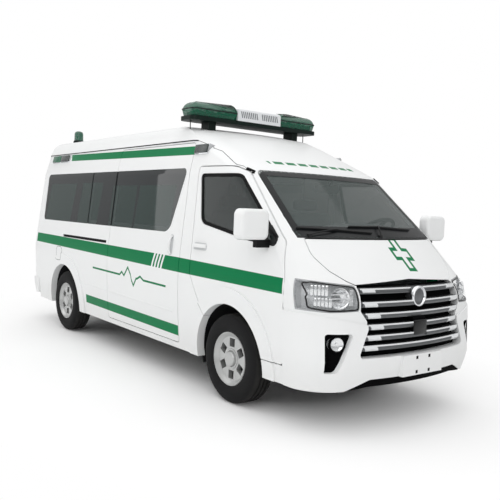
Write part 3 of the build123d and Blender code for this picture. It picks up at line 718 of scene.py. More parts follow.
class Shape:
    """A bmesh under construction, closed into a piece that rides on a body."""

    def __init__(self) -> None:
        """Start with an empty mesh."""
        self.mesh = bmesh.new()

    def cube(self, low: Vector, high: Vector, rounding: float = 0.0, segments: int = 2) -> list:
        """Add a box with rounded edges.

        Args:
            low: Lowest corner.
            high: Highest corner.
            rounding: Edge radius.
            segments: Facets of the rounding.

        Returns:
            The vertices added.
        """
        low, high = Vector(low), Vector(high)
        known = set(self.mesh.verts)
        made = bmesh.ops.create_cube(self.mesh, size=1.0)["verts"]
        bmesh.ops.scale(self.mesh, vec=high - low, verts=made)
        bmesh.ops.translate(self.mesh, vec=(low + high) / 2.0, verts=made)
        if rounding:
            edges = list({edge for vert in made for edge in vert.link_edges})
            bmesh.ops.bevel(
                self.mesh,
                geom=edges,
                offset=rounding,
                segments=segments,
                profile=0.5,
                affect="EDGES",
                material=-1,
                clamp_overlap=True,
            )
        return [vert for vert in self.mesh.verts if vert not in known]

    def turn(self, verts: list, angle: float, axis: str, centre: Vector) -> None:
        """Turn vertices about an axis.

        Args:
            verts: Vertices to turn.
            angle: Angle in degrees.
            axis: Axis letter.
            centre: Point on the axis.
        """
        bmesh.ops.rotate(
            self.mesh, verts=verts, cent=centre, matrix=Matrix.Rotation(math.radians(angle), 3, axis)
        )

    def spin(self, profile: list[Vector], centre: Vector, axis: Vector, steps: int) -> None:
        """Revolve a profile a full turn.

        Args:
            profile: Points of the profile in space.
            centre: Point on the axis.
            axis: Axis direction.
            steps: Facets of the turn.
        """
        verts = [self.mesh.verts.new(point) for point in profile]
        edges = [self.mesh.edges.new(pair) for pair in zip(verts, verts[1:])]
        bmesh.ops.spin(
            self.mesh,
            geom=verts + edges,
            cent=centre,
            axis=axis,
            angle=math.tau,
            steps=steps,
            use_merge=True,
            use_duplicate=False,
        )

    def lathe(self, rows: Rows, centre: Vector, axis: Vector, radial: Vector, steps: int) -> None:
        """Revolve a profile given as distances along and from an axis.

        Args:
            rows: Distance along the axis and radius of each point.
            centre: Start of the axis.
            axis: Axis direction.
            radial: Direction of the profile's radii.
            steps: Facets of the turn.
        """
        profile = [centre + axis * along + radial * radius for along, radius in rows]
        self.spin(profile, centre, axis, steps)

    def sweep(self, rings: list[list[Vector]], closed_path: bool = False) -> None:
        """Skin a row of equal rings, with caps on an open path.

        Args:
            rings: Closed rings of points, in order along the path.
            closed_path: Whether the last ring joins the first.
        """
        loops = []
        for ring in rings:
            verts = [self.mesh.verts.new(point) for point in ring]
            loops.append([self.mesh.edges.new((a, b)) for a, b in zip(verts, verts[1:] + verts[:1])])
        pairs = list(zip(loops, loops[1:]))
        if closed_path:
            pairs.append((loops[-1], loops[0]))
        for first, second in pairs:
            bmesh.ops.bridge_loops(self.mesh, edges=first + second)
        if not closed_path:
            for loop in (loops[0], loops[-1]):
                bmesh.ops.contextual_create(self.mesh, geom=loop)

    def plate(self, outline: list[Vector], thickness: Vector) -> None:
        """Extrude a flat outline.

        Args:
            outline: Points of the outline.
            thickness: Extrusion vector.
        """
        face = self.mesh.faces.new([self.mesh.verts.new(point) for point in outline])
        made = bmesh.ops.extrude_face_region(self.mesh, geom=[face], use_keep_orig=True)["geom"]
        moved = [item for item in made if isinstance(item, bmesh.types.BMVert)]
        bmesh.ops.translate(self.mesh, vec=thickness, verts=moved)

    def piece(
        self,
        name: str,
        material: bpy.types.Material,
        body: str,
        slot: str | None = None,
        angle: float = SMOOTH_ANGLE,
    ) -> bpy.types.Object:
        """Close the mesh into an object.

        Args:
            name: Piece name.
            material: Finish.
            body: Body that it rides on.
            slot: Record material slot; not used.
            angle: Edges flatter than this many degrees are smooth.

        Returns:
            The new object.
        """
        bmesh.ops.remove_doubles(self.mesh, verts=self.mesh.verts, dist=1e-6)
        bmesh.ops.recalc_face_normals(self.mesh, faces=self.mesh.faces)
        return close_mesh(self.mesh, name, material, body, angle)


def close_mesh(
    work: bmesh.types.BMesh,
    name: str,
    material: bpy.types.Material,
    body: str,
    angle: float,
) -> bpy.types.Object:
    """Turn a bmesh into a shaded object that rides on a body.

    Args:
        work: The mesh.
        name: Piece name.
        material: Finish.
        body: Body that it rides on.
        angle: Edges flatter than this many degrees are smooth.

    Returns:
        The new object.
    """
    limit = math.radians(angle)
    for face in work.faces:
        face.smooth = True
    for edge in work.edges:
        edge.smooth = len(edge.link_faces) == 2 and edge.calc_face_angle(0.0) < limit
    mesh = bpy.data.meshes.new(name)
    work.to_mesh(mesh)
    work.free()
    stale = mesh.attributes.get("custom_normal")
    if stale is not None:
        mesh.attributes.remove(stale)
    mesh.materials.clear()
    mesh.materials.append(material)
    made = bpy.data.objects.new(name, mesh)
    bpy.context.scene.collection.objects.link(made)
    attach(made, body)
    LOG.info("piece %s on %s", name, body)
    return made


class Skin:
    """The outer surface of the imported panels, found by casting rays at it."""

    REACH = 0.006
    PANELS = (
        "side_frame_right", "side_frame_left", "high_roof", "cowl_panel", "fenders", "front_sills",
        "front_bumper", "rear_bumper", "sliding_door", "hood", "door_right", "door_left", "tailgate",
        "windscreen", "side_glass", "door_glass_right", "door_glass_left", "tailgate_glass", "tail_lamps",
        "headlamp_lenses", "slide_rail", "grille_bars", "grille_backing", "fog_lamps", "bumper_inserts",
    )

    def __init__(self, nodes: dict[str, bpy.types.Object]) -> None:
        """Gather the panels into one search tree.

        Args:
            nodes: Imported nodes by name.
        """
        points: list[Vector] = []
        faces: list[list[int]] = []
        for name in self.PANELS:
            mesh = nodes[name].data
            start = len(points)
            points += [vert.co.copy() for vert in mesh.vertices]
            faces += [[start + index for index in poly.vertices] for poly in mesh.polygons]
        self.tree = BVHTree.FromPolygons(points, faces)

    def _cast(self, origin: Vector, direction: Vector) -> tuple[Vector, Vector]:
        """Hit point and outward normal of one ray, or of a near one where the ray falls into a seam.

        Args:
            origin: Start of the ray.
            direction: Direction of the ray.

        Returns:
            Point and normal.
        """
        first = direction.orthogonal().normalized()
        second = direction.cross(first)
        hits = []
        for across, along in ((0, 0), (1, 0), (-1, 0), (0, 1), (0, -1), (2, 0), (-2, 0), (0, 2), (0, -2)):
            start = origin + (first * across + second * along) * self.REACH
            point, normal, _, length = self.tree.ray_cast(start, direction)
            if point is not None:
                slack = 0.0 if (across, along) == (0, 0) else 0.02
                hits.append((length + slack, len(hits), point, normal))
        if not hits:
            raise ValueError(f"no panel at {tuple(origin)}")
        _, _, point, normal = min(hits)
        return point, (-normal if normal.dot(direction) > 0 else normal)

    def side(self, x: float, z: float, side: Side = Side.RIGHT) -> tuple[Vector, Vector]:
        """Point and normal on a body side."""
        return self._cast(Vector((x, 2.0 * side.value, z)), Vector((0.0, -side.value, 0.0)))

    def front(self, y: float, z: float) -> tuple[Vector, Vector]:
        """Point and normal on the nose."""
        return self._cast(Vector((4.0, y, z)), Vector((-1.0, 0.0, 0.0)))

    def rear(self, y: float, z: float) -> tuple[Vector, Vector]:
        """Point and normal on the tail."""
        return self._cast(Vector((-4.0, y, z)), Vector((1.0, 0.0, 0.0)))

    def top(self, x: float, y: float) -> tuple[Vector, Vector]:
        """Point and normal on the roof or hood."""
        return self._cast(Vector((x, y, 4.0)), Vector((0.0, 0.0, -1.0)))


def rounded_loop(rows: Rows | list[Row], steps: int = 5) -> list[Vector]:
    """Closed flat outline with rounded corners.

    Args:
        rows: Two coordinates and the radius of each corner.
        steps: Facets of each rounding.

    Returns:
        Flat points in order.
    """
    points = []
    for index, (u, v, radius) in enumerate(rows):
        corner = Vector((u, v))
        back = Vector(rows[index - 1][:2]) - corner
        ahead = Vector(rows[(index + 1) % len(rows)][:2]) - corner
        reach = radius / math.tan(back.angle(ahead) / 2.0)
        reach = min(reach, 0.45 * back.length, 0.45 * ahead.length)
        start = corner + back.normalized() * reach
        end = corner + ahead.normalized() * reach
        for step in range(steps + 1):
            share = step / steps
            bend = start.lerp(corner, share).lerp(corner.lerp(end, share), share)
            points.append(bend)
    return points


def rounded_box(low: Row, high: Row, radius: float) -> list[Vector]:
    """Closed flat outline of a box with rounded corners."""
    (u0, v0), (u1, v1) = low, high
    return rounded_loop([(u0, v0, radius), (u1, v0, radius), (u1, v1, radius), (u0, v1, radius)])


def shift_loop(points: list[Vector], distance: float) -> list[Vector]:
    """Closed flat outline moved outwards, or inwards with a minus sign.

    Args:
        points: Flat points in order.
        distance: Size of the move.

    Returns:
        Moved points.
    """
    count = len(points)
    area = sum(a.x * b.y - b.x * a.y for a, b in zip(points, points[1:] + points[:1]))
    sign = distance if area > 0 else -distance
    moved = []
    for index, point in enumerate(points):
        along = (points[(index + 1) % count] - points[index - 1]).normalized()
        moved.append(point + Vector((along.y, -along.x)) * sign)
    return moved


def spread(points: list[Vector], pitch: float, closed: bool = False) -> list[Vector]:
    """Path with further points on its long straight parts.

    Args:
        points: Path.
        pitch: Largest step.
        closed: Whether the last point joins the first.

    Returns:
        Denser path.
    """
    ends = list(zip(points, points[1:]))
    if closed:
        ends.append((points[-1], points[0]))
    dense = []
    for start, end in ends:
        count = max(1, math.ceil((end - start).length / pitch))
        dense += [start.lerp(end, step / count) for step in range(count)]
    return dense if closed else dense + [points[-1]]


def strip_rings(
    path: list[tuple[Vector, Vector]],
    width: float,
    rise: float,
    sink: float = 0.002,
    closed: bool = False,
) -> list[list[Vector]]:
    """Rings of a low rounded strip that follows a path on a surface.

    Args:
        path: Points and outward normals along the strip.
        width: Strip width.
        rise: Height above the surface.
        sink: Depth below the surface.
        closed: Whether the last point joins the first.

    Returns:
        One ring for each point.
    """
    rings = []
    for index, (point, normal) in enumerate(path):
        before = path[index - 1 if closed else max(index - 1, 0)][0]
        after = path[(index + 1) % len(path) if closed else min(index + 1, len(path) - 1)][0]
        across = normal.cross(after - before).normalized()
        half = width / 2.0
        rings.append(
            [
                point - across * half - normal * sink,
                point - across * half + normal * rise * 0.55,
                point - across * half * 0.6 + normal * rise,
                point + across * half * 0.6 + normal * rise,
                point + across * half + normal * rise * 0.55,
                point + across * half - normal * sink,
            ]
        )
    return rings


def tube_rings(points: list[Vector], radius: float, sides: int = 10) -> list[list[Vector]]:
    """Rings of a round bar along a path.

    Args:
        points: Path.
        radius: Bar radius.
        sides: Facets round the bar.

    Returns:
        One ring for each point.
    """
    rings = []
    for index, point in enumerate(points):
        ahead = (points[min(index + 1, len(points) - 1)] - points[max(index - 1, 0)]).normalized()
        first = ahead.orthogonal().normalized()
        if rings:
            last = (rings[-1][0] - points[index - 1]).normalized()
            first = (last - ahead * last.dot(ahead)).normalized()
        second = ahead.cross(first)
        turns = [math.tau * k / sides for k in range(sides)]
        rings.append([point + (first * math.cos(a) + second * math.sin(a)) * radius for a in turns])
    return rings


@dataclass
class Workshop:
    """What every sub-assembly needs: finishes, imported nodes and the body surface."""

    nodes: dict[str, bpy.types.Object]
    finishes: Finishes
    skin: Skin

    def dress(self, node: str, finish: str) -> None:
        """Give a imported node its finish.

        Args:
            node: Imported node.
            finish: Finish name.
        """
        mesh = self.nodes[node].data
        mesh.materials.clear()
        mesh.materials.append(self.finishes[finish])

    def fit(
        self,
        shape: Shape,
        name: str,
        finish: str,
        slot: str,
        body: str = "van",
        angle: float = SMOOTH_ANGLE,
    ) -> bpy.types.Object:
        """Close a shape into a piece with its finish.

        Args:
            shape: Finished shape.
            name: Piece name.
            finish: Finish name.
            slot: Record material slot.
            body: Body that it rides on.
            angle: Edges flatter than this many degrees are smooth.

        Returns:
            The new object.
        """
        return shape.piece(name, self.finishes[finish], body, slot, angle)

    def panel(self, node: str, finish: str, slot: str, rounding: float = 0.002) -> bpy.types.Object:
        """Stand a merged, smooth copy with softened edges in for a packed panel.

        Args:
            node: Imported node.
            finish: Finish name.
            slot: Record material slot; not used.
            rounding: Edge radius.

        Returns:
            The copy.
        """
        work = bmesh.new()
        work.from_mesh(self.nodes[node].data)
        bmesh.ops.remove_doubles(work, verts=work.verts, dist=WELD_GAP)
        body = self.nodes[node]["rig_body"]
        made = close_mesh(work, f"{node}_dressed", self.finishes[finish], body, PANEL_ANGLE)
        if rounding:
            bevel = made.modifiers.new("edge", "BEVEL")
            bevel.width = rounding
            bevel.segments = 2
            bevel.limit_method = "ANGLE"
            bevel.angle_limit = math.radians(BEVEL_ANGLE)
        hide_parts(node)
        return made


@dataclass
class Stage:
    """Floor, light, backdrop and the camera at the photograph's place."""

    lens: float = 46.35
    eye: Row = (5.305, -3.562, 1.426)
    yaw: float = 142.78
    pitch: float = -3.06
    roll: float = 2.31
    principal: Row = (244.2, 243.1)
    horizon: float = 0.42
    zenith: float = 0.95
    floor_half: float = 60.0
    lamps: tuple[tuple[str, Row, Row, float, float], ...] = (
        ("ceiling", (0.5, -0.5, 6.5), (0.3, 0.0, 0.0), 9.0, 150.0),
        ("key", (6.5, -5.5, 5.0), (0.8, 0.0, 1.0), 5.0, 130.0),
        ("fill", (-5.0, -6.0, 4.0), (-0.6, 0.0, 1.0), 5.0, 80.0),
    )

    def build(self) -> None:
        """Make everything around the vehicle."""
        self._camera()
        self._world()
        self._floor()
        self._lamps()

    def _camera(self) -> None:
        """Camera fitted to the photograph."""
        data = bpy.data.cameras.new("photo_camera")
        data.lens = self.lens
        data.sensor_width = 36.0
        data.shift_x = (PHOTO_SIZE / 2 - self.principal[0]) / PHOTO_SIZE
        data.shift_y = (self.principal[1] - PHOTO_SIZE / 2) / PHOTO_SIZE
        data.clip_end = 200.0
        camera = bpy.data.objects.new("photo_camera", data)
        bpy.context.scene.collection.objects.link(camera)
        yaw, pitch, roll = (math.radians(a) for a in (self.yaw, self.pitch, self.roll))
        level = math.cos(pitch)
        ahead = Vector((level * math.cos(yaw), level * math.sin(yaw), math.sin(pitch)))
        right = ahead.cross(Vector(UPWARDS)).normalized()
        up = right.cross(ahead)
        tilted = right * math.cos(roll) + up * math.sin(roll)
        raised = up * math.cos(roll) - right * math.sin(roll)
        turn = Matrix((tilted, raised, -ahead)).transposed()
        camera.matrix_world = Matrix.Translation(Vector(self.eye)) @ turn.to_4x4()
        bpy.context.scene.camera = camera

    def _world(self) -> None:
        """White surroundings, darker towards the horizon for what the lamps light."""
        world = bpy.data.worlds.new("studio")
        bpy.context.scene.world = world
        world.use_nodes = True
        nodes = Nodes(world.node_tree)
        rays = nodes.node("ShaderNodeLightPath").outputs
        seen = Value(nodes, rays["Is Camera Ray"]).high(Value(nodes, rays["Is Transmission Ray"]))
        place = nodes.node("ShaderNodeTexCoord")
        split = nodes.node("ShaderNodeSeparateXYZ", None, {0: place.outputs["Generated"]})
        heights = {0: split.outputs[2], 3: self.horizon, 4: self.zenith}
        sky = nodes.node("ShaderNodeMapRange", None, heights)
        level = nodes.node("ShaderNodeMapRange", None, {0: seen, 3: sky.outputs[0], 4: 1.0})
        light = {"Color": (1.0, 1.0, 1.0, 1.0), "Strength": level.outputs[0]}
        back = nodes.node("ShaderNodeBackground", None, light)
        nodes.node("ShaderNodeOutputWorld", None, {0: back.outputs[0]})

    def _floor(self) -> None:
        """Wide pale floor."""
        work = bmesh.new()
        bmesh.ops.create_grid(work, x_segments=1, y_segments=1, size=self.floor_half)
        mesh = bpy.data.meshes.new("floor")
        work.to_mesh(mesh)
        work.free()
        graph = Graph("pale_floor")
        cloud = graph.noise(0.8, 3.0)
        graph.surface(Base_Color=graph.mix(cloud, rgb(248, 248, 248), rgb(251, 251, 251)), Roughness=0.9)
        graph.surface(Specular_IOR_Level=0.0)
        x, y, _ = graph.axes
        far = (x * x * 0.35 + y * y).root().above(1.85, 0.75)
        rays = graph.node("ShaderNodeLightPath")
        glow = graph.node("ShaderNodeEmission", None, {"Color": (1.0, 1.0, 1.0, 1.0), "Strength": 1.0})
        seen = far * Value(graph, rays.outputs["Is Camera Ray"])
        blend = {0: seen, 1: graph.shader.outputs[0], 2: glow.outputs[0]}
        both = graph.node("ShaderNodeMixShader", None, blend)
        graph.put(graph.output.inputs[0], both.outputs[0])
        mesh.materials.append(graph.material)
        floor = bpy.data.objects.new("floor", mesh)
        bpy.context.scene.collection.objects.link(floor)

    def _lamps(self) -> None:
        """Large soft lamps above and in front."""
        for name, place, target, size, power in self.lamps:
            data = bpy.data.lights.new(name, "AREA")
            data.size = size
            data.energy = power
            lamp = bpy.data.objects.new(name, data)
            lamp.location = place
            lamp.rotation_mode = "QUATERNION"
            lamp.rotation_quaternion = (Vector(target) - Vector(place)).to_track_quat("-Z", "Y")
            bpy.context.scene.collection.objects.link(lamp)


@dataclass
class BodyShell:
    """Painted panels."""

    shop: Workshop
    striped: tuple[str, ...] = (
        "side_frame_right", "side_frame_left", "sliding_door", "door_right", "door_left",
    )
    plain: tuple[str, ...] = ("fenders", "front_sills", "rear_bumper", "tailgate")

    def build(self) -> None:
        """Dress the painted panels."""
        for node in self.striped:
            self.shop.panel(node, "white_body_paint", "white_paint")
        for node in self.plain:
            self.shop.panel(node, "plain_white_paint", "white_paint")
        self.shop.panel("hood", "hood_paint", "white_paint")
        self.shop.panel("front_bumper", "bumper_paint", "white_paint")
        self.shop.panel("high_roof", "roof_paint", "white_paint")
        for side in Side:
            self.shop.panel(f"mirror_{side.tag}", "mirror_paint", "white_paint")


@dataclass
class PlainNodes:
    """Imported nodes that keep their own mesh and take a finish."""

    shop: Workshop
    rows: tuple[tuple[str, str], ...] = (
        ("floor_pan", "floor_lining"),
        ("chassis_frame", "underbody_steel"),
        ("front_wheelhouses", "black_moulding"),
        ("rear_wheelhouses", "black_moulding"),
        ("suspension_arms", "underbody_steel"),
        ("rear_axle", "underbody_steel"),
        ("leaf_springs", "underbody_steel"),
        ("engine_block", "underbody_steel"),
        ("propshaft", "underbody_steel"),
        ("exhaust", "exhaust_metal"),
        ("fuel_tank", "black_moulding"),
        ("knuckle_right", "underbody_steel"),
        ("knuckle_left", "underbody_steel"),
        ("mudflaps", "black_moulding"),
        ("partition", "cab_trim"),
        ("dashboard", "dash_moulding"),
        ("steering_wheel", "black_moulding"),
        ("slide_rail", "seam_sealer"),
    )
    smooth: tuple[tuple[str, str, str], ...] = (
        ("cowl_panel", "black_moulding", "black_plastic"),
        ("bumper_inserts", "grille_black", "black_plastic"),
        ("grille_backing", "grille_black", "black_plastic"),
        ("grille_bars", "satin_grille", "chrome_trim"),
        ("headlamp_housings", "lamp_tray", "black_plastic"),
        ("headlamp_lenses", "lamp_clear_lens", "clear_glass"),
        ("fog_lamps", "lamp_clear_lens", "clear_glass"),
        ("tail_lamps", "red_lens", "red_lens"),
        ("windscreen", "windscreen_glass", "clear_glass"),
        ("door_glass_right", "door_drop_glass", "clear_glass"),
        ("door_glass_left", "door_drop_glass", "clear_glass"),
        ("side_glass", "bonded_side_glass", "tinted_glass"),
        ("tailgate_glass", "tailgate_bonded_glass", "tinted_glass"),
        ("warning_light_bases", "light_base", "black_plastic"),
        ("light_bar_centre", "white_moulding", "white_plastic"),
    )

    def build(self) -> None:
        """Dress the remaining nodes."""
        for node, finish in self.rows:
            self.shop.dress(node, finish)
        for node, finish, slot in self.smooth:
            self.shop.panel(node, finish, slot, 0.0)


@dataclass
class Glazing:
    """Glass borders, window seals, wipers and the inside mirror."""

    shop: Workshop

    windscreen: Rows = (
        (0.670, 1.287, 0.05), (0.624, 1.690, 0.05), (-0.624, 1.690, 0.05), (-0.670, 1.287, 0.05),
    )
    border: float = 0.056
    low_border: Row = (1.292, 0.104)
    door: Rows = (
        (2.038, 1.182, 0.024), (2.031, 1.244, 0.06), (1.531, 1.684, 0.11),
        (1.034, 1.690, 0.035), (1.113, 1.300, 0.09), (1.720, 1.205, 0.40),
    )
    seal_inset: float = 0.014
    mirror_foot: Rows = (
        (2.030, 1.188), (2.024, 1.244), (1.945, 1.314), (1.880, 1.330), (1.865, 1.200),
    )
    blades: tuple[Rows, ...] = (
        ((-0.660, 1.306), (-0.352, 1.298), (-0.050, 1.282), (-0.60, 1.262)),
        ((-0.230, 1.322), (0.060, 1.324), (0.450, 1.306), (0.02, 1.262)),
    )

    def build(self) -> None:
        """Make the fittings of the glass."""
        self._border()
        for side in Side:
            self._seal(side)
        for index, row in enumerate(self.blades):
            self._wiper(index, row)
        self._inside_mirror()

    def _border(self) -> None:
        """Printed black border of the windscreen."""
        shape = Shape()
        loop = spread(rounded_loop(self.windscreen), 0.06, True)
        path = [self.shop.skin.front(p.x, p.y) for p in loop]
        shape.sweep(strip_rings(path, self.border, 0.0008, 0.001, True), True)
        height, width = self.low_border
        low = [self.shop.skin.front(y * 0.05, height) for y in range(-13, 14)]
        shape.sweep(strip_rings(low, width, 0.0012, 0.001))
        self.shop.fit(shape, "windscreen_border", "frit_print", "black_plastic")

    def _seal(self, side: Side) -> None:
        """Rubber frame of one door window and the black mirror foot.

        Args:
            side: Side of the vehicle.
        """
        door = f"door_{side.tag}"
        loop = shift_loop(rounded_loop(self.door), -self.seal_inset)
        path = [self.shop.skin.side(p.x, p.y, side) for p in spread(loop, 0.06, True)]
        shape = Shape()
        shape.sweep(strip_rings(path, 0.025, 0.008, 0.001, True), True)
        self.shop.fit(shape, f"window_seal_{side.tag}", "seam_sealer", "black_plastic", door)
        foot = Shape()
        spots = [self.shop.skin.side(x, z, side) for x, z in self.mirror_foot]
        foot.plate([p + n * 0.002 for p, n in spots], spots[2][1] * 0.012)
        self.shop.fit(foot, f"mirror_foot_{side.tag}", "black_moulding", "black_plastic", door)

    def _wiper(self, index: int, row: tuple) -> None:
        """One wiper: blade on the glass and arm from the cowl.

        Args:
            index: Number of the wiper.
            row: Three blade points and the arm's pivot, as width and height.
        """
        start, middle, end, pivot = (Vector(p) for p in row)
        flat = [start.lerp(middle, t / 6) for t in range(6)]
        flat += [middle.lerp(end, t / 6) for t in range(7)]
        path = []
        for spot in flat:
            point, normal = self.shop.skin.front(spot.x, spot.y)
            path.append((point + normal * 0.008, normal))
        blade = Shape()
        blade.sweep(strip_rings(path, 0.010, 0.008, 0.007))
        foot, up = self.shop.skin.front(pivot.x, pivot.y)
        tip, out = path[6]
        bend = foot.lerp(tip, 0.25) + up * 0.018
        arm = [foot, foot + up * 0.014, bend, foot.lerp(tip, 0.7) + out * 0.016, tip + out * 0.010]
        blade.sweep(tube_rings(arm, 0.0055, 8))
        blade.cube(foot - Vector((0.016, 0.016, 0.010)), foot + Vector((0.014, 0.016, 0.014)), 0.006)
        self.shop.fit(blade, f"wiper_{index}", "black_moulding", "black_plastic")

    def _inside_mirror(self) -> None:
        """Mirror behind the windscreen."""
        shape = Shape()
        shape.cube((1.640, -0.125, 1.575), (1.672, 0.125, 1.640), 0.014, 3)
        shape.sweep(tube_rings([Vector((1.665, 0.0, 1.62)), Vector((1.70, 0.0, 1.665))], 0.008))
        self.shop.fit(shape, "inside_mirror", "black_moulding", "black_plastic")


@dataclass
class FrontEnd:
    """Grille, lamps and badges of the nose."""

    shop: Workshop

    bars: Row = (0.928, 0.846, 0.774, 0.702, 0.634, 0.570)
    gaps: Rows = ((0.928, 0.052), (0.846, 0.057), (0.702, 0.068), (0.634, 0.068))
    edge: Rows = (
        (0.985, 0.500), (0.959, 0.500), (0.806, 0.516), (0.742, 0.468), (0.690, 0.468), (0.508, 0.545),
    )
    face: Rows = (
        (-0.0172, -0.004), (-0.0172, 0.001), (-0.005, 0.009), (0.0172, 0.002), (0.0172, -0.004),
    )
    rim: Rows = ((0.0085, 0.002), (0.0085, 0.0070), (0.0180, 0.0050), (0.0180, -0.003))
    tip: Rows = (
        (-0.0176, -0.004), (-0.0176, 0.003), (-0.004, 0.0125), (0.0182, 0.006), (0.0182, -0.004),
    )
    facet_angle: float = 20.0
    roundel_z: float = 0.884
    roundel_ring: Rows = (
        (-0.004, 0.071), (0.010, 0.071), (0.018, 0.066), (0.018, 0.058), (0.010, 0.052), (-0.004, 0.052),
    )
    roundel_middle: Rows = ((0.002, 0.0525), (0.008, 0.0515), (0.012, 0.030), (0.013, 0.0))
    lamp: Rows = (
        (0.533, 0.815, 0.02), (0.519, 0.953, 0.02), (0.818, 0.987, 0.02), (0.814, 0.824, 0.02),
        (0.720, 0.809, 0.05),
    )
    bowl_place: Row = (0.645, 0.884)
    bowl: Rows = (
        (-0.016, 0.068), (-0.018, 0.064), (-0.030, 0.056), (-0.046, 0.040), (-0.058, 0.020), (-0.060, 0.010),
    )
    bulb: Rows = ((-0.058, 0.016), (-0.036, 0.016), (-0.030, 0.010), (-0.028, 0.0))
    cells: Rows = (
        (0.752, 0.930, 0.056, 0.034), (0.752, 0.856, 0.056, 0.030), (0.560, 0.884, 0.014, 0.056),
    )
    fog_place: Row = (0.677, 0.603)
    fog_ring: Rows = (
        (-0.014, 0.056), (0.001, 0.056), (0.004, 0.052), (0.002, 0.044), (-0.004, 0.043), (-0.014, 0.043),
    )
    fog_bowl: Rows = (
        (-0.003, 0.042), (-0.008, 0.036), (-0.012, 0.022), (-0.013, 0.010), (-0.006, 0.009), (-0.005, 0.0),
    )
    fog_ribs: Row = (0.438, 0.466, 0.494, 0.522)

    def build(self) -> None:
        """Make the front fittings."""
        self._bars()
        self._roundel()
        self._sensor()
        for side in Side:
            self._headlamp(side)
            self._fog_lamp(side)

    def _half_width(self, z: float) -> float:
        """Half width of the grille opening at a height.

        Args:
            z: Height.

        Returns:
            Half width.
        """
        for (high, wide), (low, narrow) in zip(self.edge, self.edge[1:]):
            if low <= z <= high:
                return narrow + (wide - narrow) * (z - low) / (high - low)
        return self.edge[-1][1]

    def _ridge(
        self, shape: Shape, z: float, start: float, end: float, section: tuple, lean: float = 0.0
    ) -> None:
        """Add one faceted length of a bar.

        Args:
            shape: Shape to add to.
            z: Height of the bar.
            start: First width coordinate.
            end: Last width coordinate.
            section: Height and outward offsets of the cross section.
            lean: Sideways shift of the section with its height.
        """
        rings = []
        count = max(2, math.ceil(abs(end - start) / 0.04))
        for step in range(count + 1):
            y = start + (end - start) * step / count
            point, normal = self.shop.skin.front(y, z)
            out = Vector((normal.x, normal.y, 0.0)).normalized()
            rings.append([point + Vector((0.0, up * lean, up)) + out * rise for up, rise in section])
        shape.sweep(rings)

    def _bars(self) -> None:
        """Ridged faces of the bars, with bright ends; the rims and ends are chrome with its highlight painted
        in as near-white colour.
        """
        dark = Shape()
        bright = Shape()
        tips = Shape()
        for z in self.bars:
            wide = self._half_width(z) - 0.012
            inner = dict(self.gaps).get(z, 0.0)
            spans = ((-wide, -inner), (inner, wide)) if inner else ((-wide, wide),)
            for start, end in spans:
                self._ridge(dark, z, start, end, self.face)
                self._ridge(bright, z, start, end, self.rim)
            for sign in (-1.0, 1.0):
                start, end = sign * (wide - 0.115), sign * (wide - 0.014)
                self._ridge(tips, z, start, end, self.tip, sign * 0.55)
        for shape, part, finish in (
            (dark, "faces", "satin_grille"), (bright, "rims", "facet_chrome"), (tips, "ends", "facet_chrome"),
        ):
            self.shop.fit(shape, f"grille_bar_{part}", finish, "chrome_trim", angle=self.facet_angle)

    def _roundel(self) -> None:
        """Plain bright ring with a dark middle."""
        centre = Vector((self.shop.skin.front(0.0, self.roundel_z)[0].x, 0.0, self.roundel_z))
        for part, rows, finish in (
            ("ring", self.roundel_ring, "bright_chrome"), ("middle", self.roundel_middle, "satin_grille"),
        ):
            shape = Shape()
            shape.lathe(rows, centre, Vector((1.0, 0.0, 0.0)), Vector(UPWARDS), 48)
            self.shop.fit(shape, f"roundel_{part}", finish, "chrome_trim")

    def _sensor(self) -> None:
        """Black cover below the roundel."""
        face = self.shop.skin.front(0.0, 0.702)[0]
        shape = Shape()
        low = Vector((face.x - 0.020, -0.067, 0.628))
        shape.cube(low, Vector((face.x + 0.014, 0.067, 0.730)), 0.009, 3)
        self.shop.fit(shape, "sensor_cover", "gloss_black", "black_plastic")

    def _frame(self, y: float, z: float) -> Matrix:
        """Local frame on the nose: along, up and outwards.

        Args:
            y: Width coordinate.
            z: Height coordinate.

        Returns:
            Matrix from local to frame coordinates.
        """
        point, normal = self.shop.skin.front(y, z)
        out = Vector((normal.x, normal.y, 0.0)).normalized()
        up = Vector(UPWARDS)
        turn = Matrix((up.cross(out), up, out)).transposed()
        return Matrix.Translation(point) @ turn.to_4x4()

    def _headlamp(self, side: Side) -> None:
        """Bowl, outer cells and dark frame of one headlamp.

        Args:
            side: Side of the vehicle.
        """
        tag, sign = side.tag, side.value
        frame = Shape()
        loop = spread(rounded_loop([(y * sign, z, r) for y, z, r in self.lamp]), 0.03, True)
        path = [self.shop.skin.front(p.x, p.y) for p in loop]
        frame.sweep(strip_rings(path, 0.010, 0.0015, 0.004, True), True)
        self.shop.fit(frame, f"headlamp_frame_{tag}", "gloss_black", "black_plastic")
        bowl = Shape()
        local = self._frame(self.bowl_place[0] * sign, self.bowl_place[1])
        self._spin_local(bowl, local, self.bowl)
        for up in (-0.026, 0.0, 0.026):
            ends = [local @ Vector((x, up, -0.020)) for x in (-0.060, 0.060)]
            bowl.sweep(tube_rings(ends, 0.0035, 8))
        for y, z, half, tall in self.cells:
            spot = self._frame(y * sign, z)
            for rib in range(5):
                x, thick = half * (rib - 2.0) * 0.42, half * 0.19
                made = bowl.cube((x - thick, -tall, -0.034), (x + thick, tall, -0.022), 0.004, 2)
                bmesh.ops.transform(bowl.mesh, matrix=spot, verts=made)
        self.shop.fit(bowl, f"headlamp_reflector_{tag}", "lamp_reflector", "chrome_trim")
        bulb = Shape()
        self._spin_local(bulb, local, self.bulb)
        self.shop.fit(bulb, f"headlamp_bulb_{tag}", "steel_rim", "chassis_steel")

